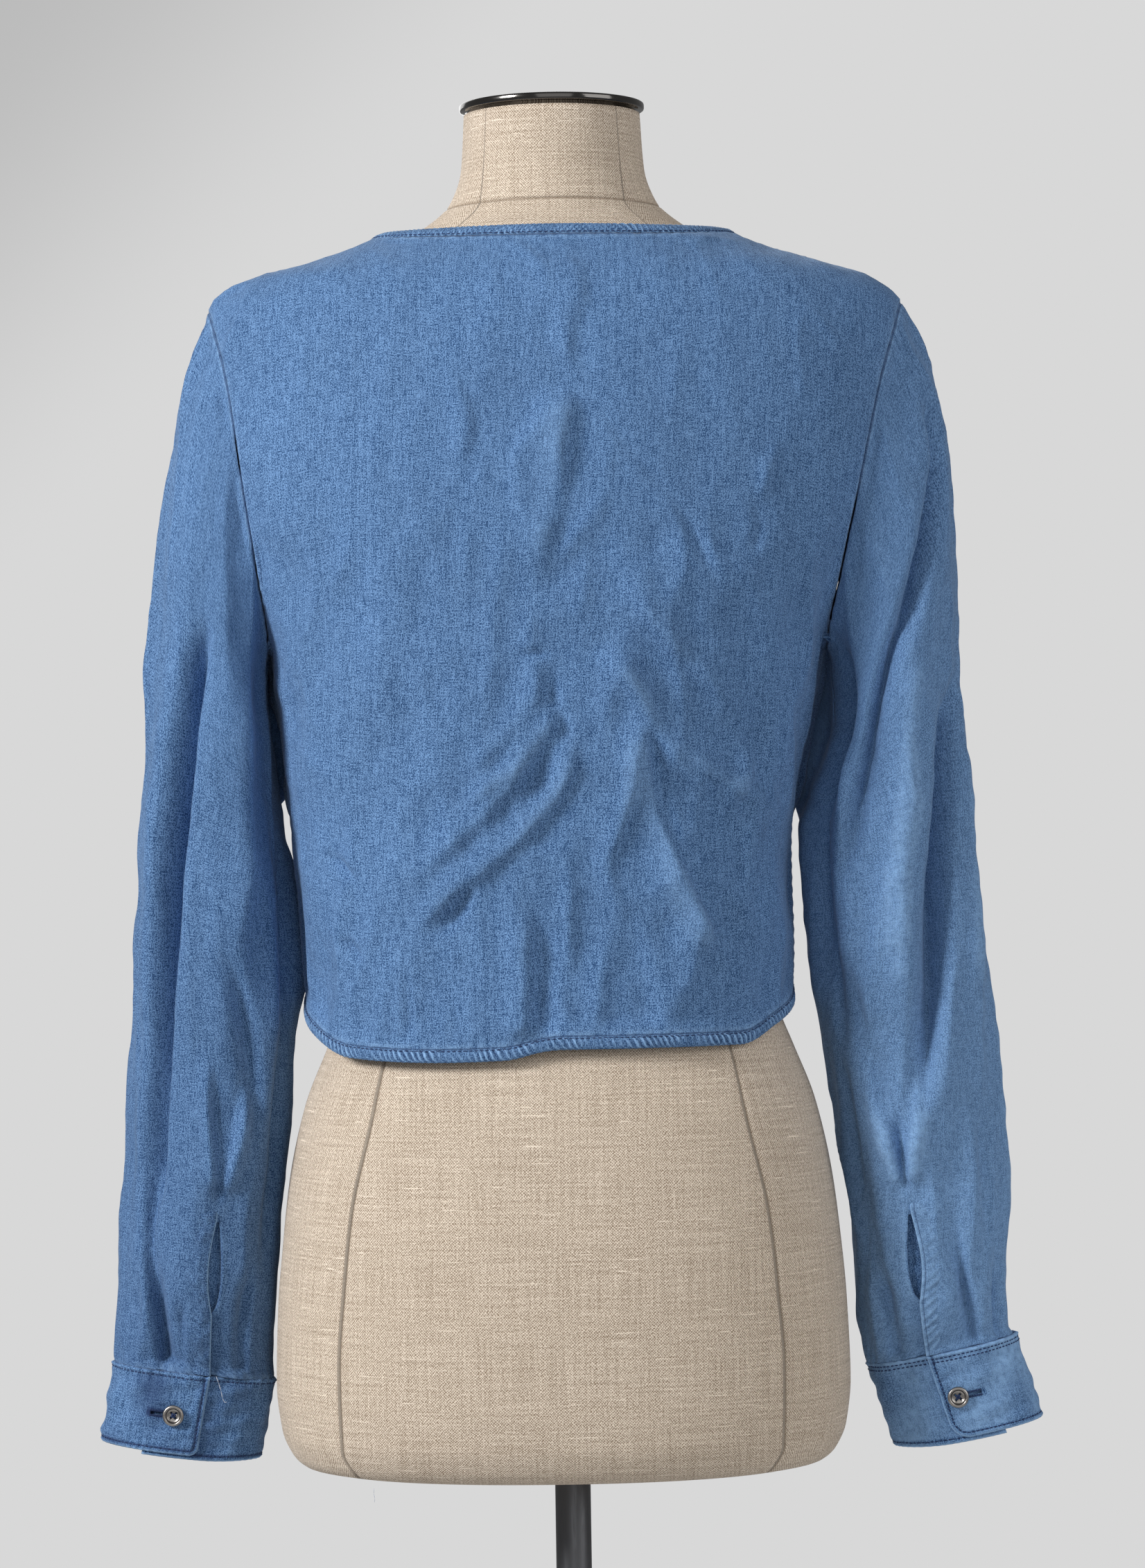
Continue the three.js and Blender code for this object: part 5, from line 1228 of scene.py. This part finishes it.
# Raw linen canvas, plain woven and stretched over the form: matt, with light thread crowns over
# darker gaps and here and there a thick pale weft thread.
def linenMaterial():
    material, tree, shader = newMaterial("wovenLinenCanvas", {"Roughness": 0.9, "Specular IOR Level": 0.2,
                                                               "Sheen Weight": 0.08, "Sheen Roughness": 0.5})
    uv = addNode(tree, "UVMap", uv_map="cloth")
    patterns, shares = clothPatterns(tree, uv, linen["patterns"]), linen["shares"]
    shift = addNode(tree, "VectorMath", {0: patterns["wobble"].outputs["Color"], 1: (0.5, 0.5, 0.5)},
                    operation="SUBTRACT")
    place = addNode(tree, "VectorMath", {0: shift, 1: (linen["wobble"] * milli,) * 3, 2: uv},
                    operation="MULTIPLY_ADD")
    parts = addNode(tree, "SeparateXYZ", {0: place})
    waves = []
    for i in (0, 1):  # across the warp and then the weft
        angle = addNode(tree, "Math", {0: parts.outputs[i], 1: 2 * halfTurn / (linen["pitch"] * milli)},
                        operation="MULTIPLY")
        waves.append(addNode(tree, "Math", {0: angle}, operation="SINE"))
    weave = addNode(tree, "Math", {0: waves[0], 1: waves[1]}, operation="MULTIPLY")
    low, high = linen["weave"]
    crown = addNode(tree, "MapRange", {"Value": weave, "From Min": low, "From Max": high})
    crown = addNode(tree, "Math", {0: crown, 1: shares["crown"]}, operation="MULTIPLY")
    crown = addNode(tree, "Math", {0: patterns["fluff"], 1: shares["fluff"], 2: crown}, operation="MULTIPLY_ADD")
    for key in ("warp", "weft"):  # uneven threads
        centred = addNode(tree, "Math", {0: patterns[key], 1: 0.5}, operation="SUBTRACT")
        crown = addNode(tree, "Math", {0: centred, 1: shares[key], 2: crown}, operation="MULTIPLY_ADD")
    low, high = linen["slubRange"]
    slub = addNode(tree, "MapRange", {"Value": patterns["slub"], "From Min": low, "From Max": high},
                   interpolation_type="SMOOTHSTEP")
    low, high = linen["threadRange"]
    spread = addNode(tree, "MapRange", {"Value": crown, "From Min": low, "From Max": high})
    light = addNode(tree, "Math", {0: slub, 1: linen["slub"], 2: spread}, operation="MULTIPLY_ADD", use_clamp=True)
    colour = addNode(tree, "Mix", {0: light, 6: toLinear(linen["ground"]), 7: toLinear(linen["thread"])},
                     data_type="RGBA").outputs[2]
    seam = addNode(tree, "Attribute", attribute_name="seam").outputs["Fac"]
    line, sunk = (addNode(tree, "MapRange", {"Value": seam, "From Min": start, "From Max": end, "To Max": depth},
                          interpolation_type="SMOOTHSTEP")
                  for start, end, depth in (linen["seamLine"], linen["seamSunk"]))
    colour = addNode(tree, "Mix", {0: line, 6: colour, 7: toLinear(linen["seam"])}, data_type="RGBA").outputs[2]
    tree.links.new(colour, shader.inputs["Base Color"])
    height = addNode(tree, "Math", {0: light, 1: linen["bump"], 2: sunk}, operation="MULTIPLY_ADD")
    bump = addNode(tree, "Bump", {"Height": height, "Strength": 1, "Distance": milli})
    tree.links.new(bump.outputs[0], shader.inputs["Normal"])
    return material


metalMarks = {"detail": 3, "range": (0.3, 0.7), "gloss": (0.8, 1.25), "bump": 0.12, "depth": 0.02}


# Metals: fine marks from polishing, blasting or tumbling show as slight changes of gloss.
def metalMaterial(name, colour, roughness, marks, stretch=(1, 1, 1)):
    material, tree, shader = newMaterial(name, {"Base Color": toLinear(colour), "Metallic": 1})
    at = addNode(tree, "TexCoord").outputs["Object"]
    scaled = addNode(tree, "Mapping", {"Vector": at, "Scale": tuple(s / (marks * milli) for s in stretch)})
    noise = addNode(tree, "TexNoise", {"Vector": scaled, "Scale": 1, "Detail": metalMarks["detail"]})
    (low, high), (least, most) = metalMarks["range"], metalMarks["gloss"]
    gloss = addNode(tree, "MapRange", {"Value": noise, "From Min": low, "From Max": high,
                                       "To Min": roughness * least, "To Max": roughness * most})
    tree.links.new(gloss.outputs[0], shader.inputs["Roughness"])
    bump = addNode(tree, "Bump", {"Height": noise, "Strength": metalMarks["bump"],
                                  "Distance": metalMarks["depth"] * milli})
    tree.links.new(bump.outputs[0], shader.inputs["Normal"])
    return material


ply = {"size": 0.4, "tint": "#33466f"}


# Twisted cotton sewing thread: matt, with a fine slanting ply.
def threadMaterial(name, colour):
    material, tree, shader = newMaterial(name, {"Roughness": 0.8, "Specular IOR Level": 0.3})
    at = addNode(tree, "TexCoord").outputs["Object"]
    twist = addNode(tree, "TexNoise", {"Vector": at, "Scale": 1 / (ply["size"] * milli), "Detail": 1})
    tone = addNode(tree, "Mix", {0: twist, 6: toLinear(colour), 7: toLinear(ply["tint"])},
                   data_type="RGBA").outputs[2]
    tree.links.new(tone, shader.inputs["Base Color"])
    return material


finishes = {
    "denim": denimMaterial("washedDenimTwill", 1.0),
    "binding": denimMaterial("foldedDenimBinding", 0.86),
    "linen": linenMaterial(),
    "cap": metalMaterial("polishedDarkNickel", "#5c5a58", 0.13, 20),  # buffed: slow waves of gloss
    "stand": metalMaterial("satinDarkSteel", "#66676a", 0.42, 0.8, (1, 1, 0.1)),  # brushed along its height
    "button": metalMaterial("tumbledGunmetal", "#a09c98", 0.34, 0.6),  # tumbled: a fine even haze
    "thread": threadMaterial("navyCottonThread", "#131f42"),
    "paleThread": threadMaterial("paleCottonThread", "#dfe6ef"),
}
print("materials made:", len(finishes))


# The pieces.
def addSheet(name, columns, rows, shape, core, material, nodes, wall=None, gap=None, fill=False):
    mesh = sheetMesh(name, columns, rows, shape, core, gap, fill)
    piece = addPiece(name, mesh, material, nodes, wall)
    print("made", name, len(mesh.polygons), "faces")
    return piece


panels = {"back": (back, backCreases, 182, 207), "front": (front, frontCreases, 130, 138)}
backCloth, frontCloth = (
    addSheet(name + "Cloth", columns, rows, panelShape(side, creases, seeds[name]), axisCore, finishes["denim"],
             [name + "_panel"], blouse["wall"])
    for name, (side, creases, columns, rows) in panels.items())
for name, loop in (("neck", neckLoop), ("hem", hemLoop)):
    addSheet(name + "Band", binding[name]["steps"], binding["around"], bandShape(loop, binding[name]),
                           columnCore, finishes["binding"], [name + "_binding"])
sleeves, strips, cuffBands, buttons = {}, {}, {}, {}


def armCore(hand):  # a point inside the lower sleeve
    return lambda points: np.array([hand * 200, -30, 800])


def buttonSeat(name, hand, lift):  # where a button lies, lifted off the cuff, and its normal
    normal = cuffNormal(name, hand, cuffs[name]["buttonAngle"])
    return cuffPoint(name, hand, cuffs[name]["buttonAngle"], cuff["buttonDown"]) + normal * lift, normal


for name, hand in (("left", left), ("right", right)):
    title = name.capitalize()
    sleeves[name] = addSheet("sleeve" + title, sleeve["columns"], sleeve["rows"], sleeveShape(name, hand), rowCore,
                             finishes["denim"], ["sleeve_" + name], sleeve["wall"], slitFaces)
    strips[name] = addSheet("strip" + title, strip["columns"], strip["rows"], stripShape(name, hand),
                            armCore(hand), finishes["binding"], ["placket_" + name], strip["wall"])
    addSheet("facing" + title, facing["columns"], facing["rows"], facingShape(name, hand), armCore(hand),
             finishes["denim"], [], facing["wall"])
    addSheet("armholeSeam" + title, armholeCord["steps"], armholeCord["around"], armholeSeamShape(hand), columnCore,
             finishes["denim"], [])
    cuffBands[name] = addSheet("cuff" + title, cuff["columns"], cuff["rows"], cuffShape(name, hand), rowCore,
                               finishes["denim"], ["cuff_" + name], cuff["wall"], holeFaces(name, hand))
    seat, normal = buttonSeat(name, hand, button["lift"])
    before, after = (cuffs[name]["buttonAngle"] + turned for turned in (-button["aside"], button["aside"]))
    along = cuffPoint(name, hand, before, 0.5) - cuffPoint(name, hand, after, 0.5)
    place = frameAt(seat, normal, along)
    buttons[name] = addPiece("button" + title, buttonMesh("button" + title, place), finishes["button"],
                             ["button_" + name])

addSheet("formBody", panelCount * form["perPanel"], form["rows"], formShape, axisCore,
         finishes["linen"], ["form_body"], fill=True)
for name, node, slot, steps in (("cap", "neck_cap", "cap_metal", 120), ("pole", "pole", "stand_metal", 64),
                                ("hub", "base_hub", "stand_metal", 96), ("base", "base", "stand_metal", 160)):
    finish = finishes["cap" if name == "cap" else "stand"]
    addPiece(name + "Metal", turnedMesh(name, stand[name], steps), finish, [node])
print("cloth, form and stand made")


# Stitches, all one small mesh. A row has its pitch, length and radius; the buttonhole's bars have their
# pitch and radius, and reach from near the slit outwards, rising a little. Sizes are in millimetres.
stitch = {
    "binding": (3.1, 2.2, 0.36), "cuff": (2.6, 1.9, 0.42), "bar": (0.75, 0.32), "up": 0.12,
    "bindingRound": 0.128, "skipped": 4, "cornerSteps": 12, "endSteps": 30, "endStart": 4,
    "barReach": (0.75, 2.1), "barUp": (0.1, 0.15), "barAngle": -12,
}
bm = bmesh.new()


def sewAlong(name, columns, rows, look):
    grid = grids[name]
    normals = normalsOf(grid, columnCore(grid) if name.endswith("Band") else rowCore(grid))
    path, ups = sampled(grid, columns, rows), sampled(normals, columns, rows)
    stitchRow(bm, path + ups * stitch["up"], ups, look)


for name in ("neck", "hem"):
    steps = binding[name]["steps"]
    sewAlong(name + "Band", np.arange(steps + 1.0), np.full(steps + 1, binding["around"] * stitch["bindingRound"]),
             stitch["binding"])
for name, hand in (("left", left), ("right", right)):
    _, lengths, height = cuffLayout(name, hand)
    title, columns = "cuff" + name.capitalize(), np.arange(cuff["columns"] + 1.0)
    rowAt, rowLengths = cuffRows(height)
    inner = columns[stitch["skipped"]:-stitch["skipped"]]
    for down in cuffs[name]["rows"]:
        sewAlong(title, inner, np.interp(inner * 0 + down, rowLengths, rowAt), stitch["cuff"])
    # One row down the end on top, round its corner and along the lower edge.
    inset, corner = cuff["stitchInset"], cuffs[name]["corner"]
    turn = np.linspace(0, halfTurn / 2, stitch["cornerSteps"])
    endSteps, lower = stitch["endSteps"], lengths[lengths > corner][::2]
    along = np.concatenate([np.full(endSteps, inset), corner - (corner - inset) * np.cos(turn), lower])
    fromBottom = np.concatenate([np.linspace(height - stitch["endStart"], corner, endSteps),
                                 corner - (corner - inset) * np.sin(turn), np.full(len(lower), inset)])
    share = (height - fromBottom) / (height - cornerRise(name, along))
    sewAlong(title, np.interp(along, lengths, columns), np.interp(share * height, rowLengths, rowAt), stitch["cuff"])
    hole, middle = cuff["buttonDown"] * height, holeMiddle(name, hand)
    normal = cuffNormal(name, hand, cuffs[name]["buttonAngle"] + stitch["barAngle"])
    pitch, radius = stitch["bar"]
    for side in (-1, 1):  # the buttonhole's bars
        for at in np.arange(-cuff["hole"][0], cuff["hole"][0], pitch):
            ends = [sampled(grids[title], np.interp(middle + at, lengths, columns),
                            np.interp(hole + side * away, rowLengths, rowAt)) + normal * up
                    for away, up in zip(stitch["barReach"], stitch["barUp"])]
            addRod(bm, *ends, radius, normal)
    seat, normal = buttonSeat(name, hand, button["lift"] + button["threadUp"])
    aside = unit(cuffPoint(name, hand, cuffs[name]["buttonAngle"] - button["aside"], 0.5) - seat)
    aside = unit(aside - normal * (aside @ normal))
    upward = np.cross(normal, aside)
    away, (apart, radius) = button["holes"][0], button["threads"]
    for sign in (-1, 1):  # two pairs of threads crossing from hole to hole
        for shift in (-apart, apart):
            offset = shift * unit(upward - sign * aside)
            reach = (aside + sign * upward) * away
            addRod(bm, seat - reach + offset, seat + reach + offset, radius, normal)
stitching = bpy.data.meshes.new("stitching")
bm.to_mesh(stitching)
bm.free()
addPiece("stitching", stitching, finishes["thread"])

looseThreads = {  # paths and radii of stray thread ends
    "cuff": ([(198.5, 18.5, 762), (197, 20.5, 758.5), (195.6, 21.6, 754), (194.8, 22, 750), (193.6, 22.1, 747.6),
              (192.4, 21.8, 747.9)], 0.26),
    "form": ([(108, 88, 708.4), (108.2, 88.3, 705.5), (107.7, 88.4, 702.6), (107.9, 88.2, 700.6)], 0.14),
}
bm = bmesh.new()
for points, radius in looseThreads.values():
    for start, end in zip(points, points[1:]):
        addRod(bm, start, end, radius)
threadEnds = bpy.data.meshes.new("threadEnds")
bm.to_mesh(threadEnds)
bm.free()
addPiece("threadEnds", threadEnds, finishes["paleThread"])
print("stitches made:", len(stitching.polygons), "faces")


# Camera, light and floor, in metres; a light has its place, size and power. The sensor's width is in
# millimetres, the camera's roll in degrees.
studio = {
    "camera": (-0.0059, 2.65, 1.090), "roll": 0.89, "fieldHeight": 0.883, "sensor": 36, "aim": (0, 0, 1.15),
    "key": ((2.10, 1.42, 2.15), 0.8, 77), "fill": ((-2.34, 1.35, 1.88), 1.8, 26), "front": ((-0.2, 3.1, 1.95), 2.5, 16),
    "rear": ((0.9, -2.4, 2.2), 2, 18),  # shows the front of the blouse in other views
    "ambient": 0.20, "wall": ("#bbbbbb", "#d8d8d8"), "wallCorner": (0.16, 0.29),  # painted shade: darker in one upper corner
    "floor": 1.25, "floorSteps": 96, "plaster": ("#d6d6d5", "#dededd"), "plasterMarks": 3,
}
lean = math.radians(studio["roll"])
cameraData = bpy.data.cameras.new("camera")
cameraData.sensor_width = studio["sensor"]
cameraData.lens = studio["sensor"] * studio["camera"][1] / studio["fieldHeight"]
camera = bpy.data.objects.new("camera", cameraData)
bpy.context.scene.collection.objects.link(camera)
upward, sideways = Vector((-math.sin(lean), 0, math.cos(lean))), Vector((-math.cos(lean), 0, -math.sin(lean)))
turn = Matrix((sideways, upward, Vector((0, 1, 0)))).transposed().to_4x4()
camera.matrix_world = Matrix.Translation(studio["camera"]) @ turn
bpy.context.scene.camera = camera

for name in ("key", "fill", "front", "rear"):
    place, size, power = studio[name]
    lampData = bpy.data.lights.new(name, "AREA")
    lampData.size, lampData.energy = size, power
    lamp = bpy.data.objects.new(name, lampData)
    bpy.context.scene.collection.objects.link(lamp)
    aim = Vector(studio["aim"]) - Vector(place)
    lamp.matrix_world = Matrix.Translation(place) @ aim.to_track_quat("-Z", "Y").to_matrix().to_4x4()

world = bpy.data.worlds.new("studio")
bpy.context.scene.world = world
world.use_nodes = True
tree = world.node_tree
tree.nodes.clear()
direction = addNode(tree, "TexCoord").outputs["Generated"]
parts = addNode(tree, "SeparateXYZ", {0: direction})
# painted shade: the wall the camera sees is darker towards one upper corner
corner = addNode(tree, "Math", {0: parts.outputs[0], 1: 1.0, 2: parts.outputs[2]}, operation="MULTIPLY_ADD")
low, high = studio["wallCorner"]
tone = addNode(tree, "MapRange", {"Value": corner, "From Min": low, "From Max": high}, interpolation_type="SMOOTHSTEP")
wall = addNode(tree, "Mix", {0: tone, 6: toLinear(studio["wall"][1]), 7: toLinear(studio["wall"][0])},
               data_type="RGBA").outputs[2]
rays = addNode(tree, "LightPath")
grey = (studio["ambient"],) * 3 + (1,)
colour = addNode(tree, "Mix", {0: rays.outputs["Is Camera Ray"], 6: grey, 7: wall}, data_type="RGBA").outputs[2]
sky = addNode(tree, "Background", {"Color": colour, "Strength": 1})
addNode(tree, "OutputWorld", {"Surface": sky})
bpy.context.scene.view_settings.view_transform = "Standard"

bm = bmesh.new()
bmesh.ops.create_circle(bm, cap_ends=True, segments=studio["floorSteps"], radius=studio["floor"])
floorMesh = bpy.data.meshes.new("floor")
bm.to_mesh(floorMesh)
bm.free()
floor = bpy.data.objects.new("floor", floorMesh)
bpy.context.scene.collection.objects.link(floor)
# Painted plaster: matt, with hardly visible slow changes of tone.
plaster, floorTree, floorShader = newMaterial("paleMattFloor", {"Roughness": 0.9})
at = addNode(floorTree, "TexCoord").outputs["Object"]
floorNoise = addNode(floorTree, "TexNoise", {"Vector": at, "Scale": studio["plasterMarks"]})
floorTone = addNode(floorTree, "Mix", {0: floorNoise, 6: toLinear(studio["plaster"][0]),
                                       7: toLinear(studio["plaster"][1])}, data_type="RGBA").outputs[2]
floorTree.links.new(floorTone, floorShader.inputs["Base Color"])
floorMesh.materials.append(plaster)

print("scene ready")
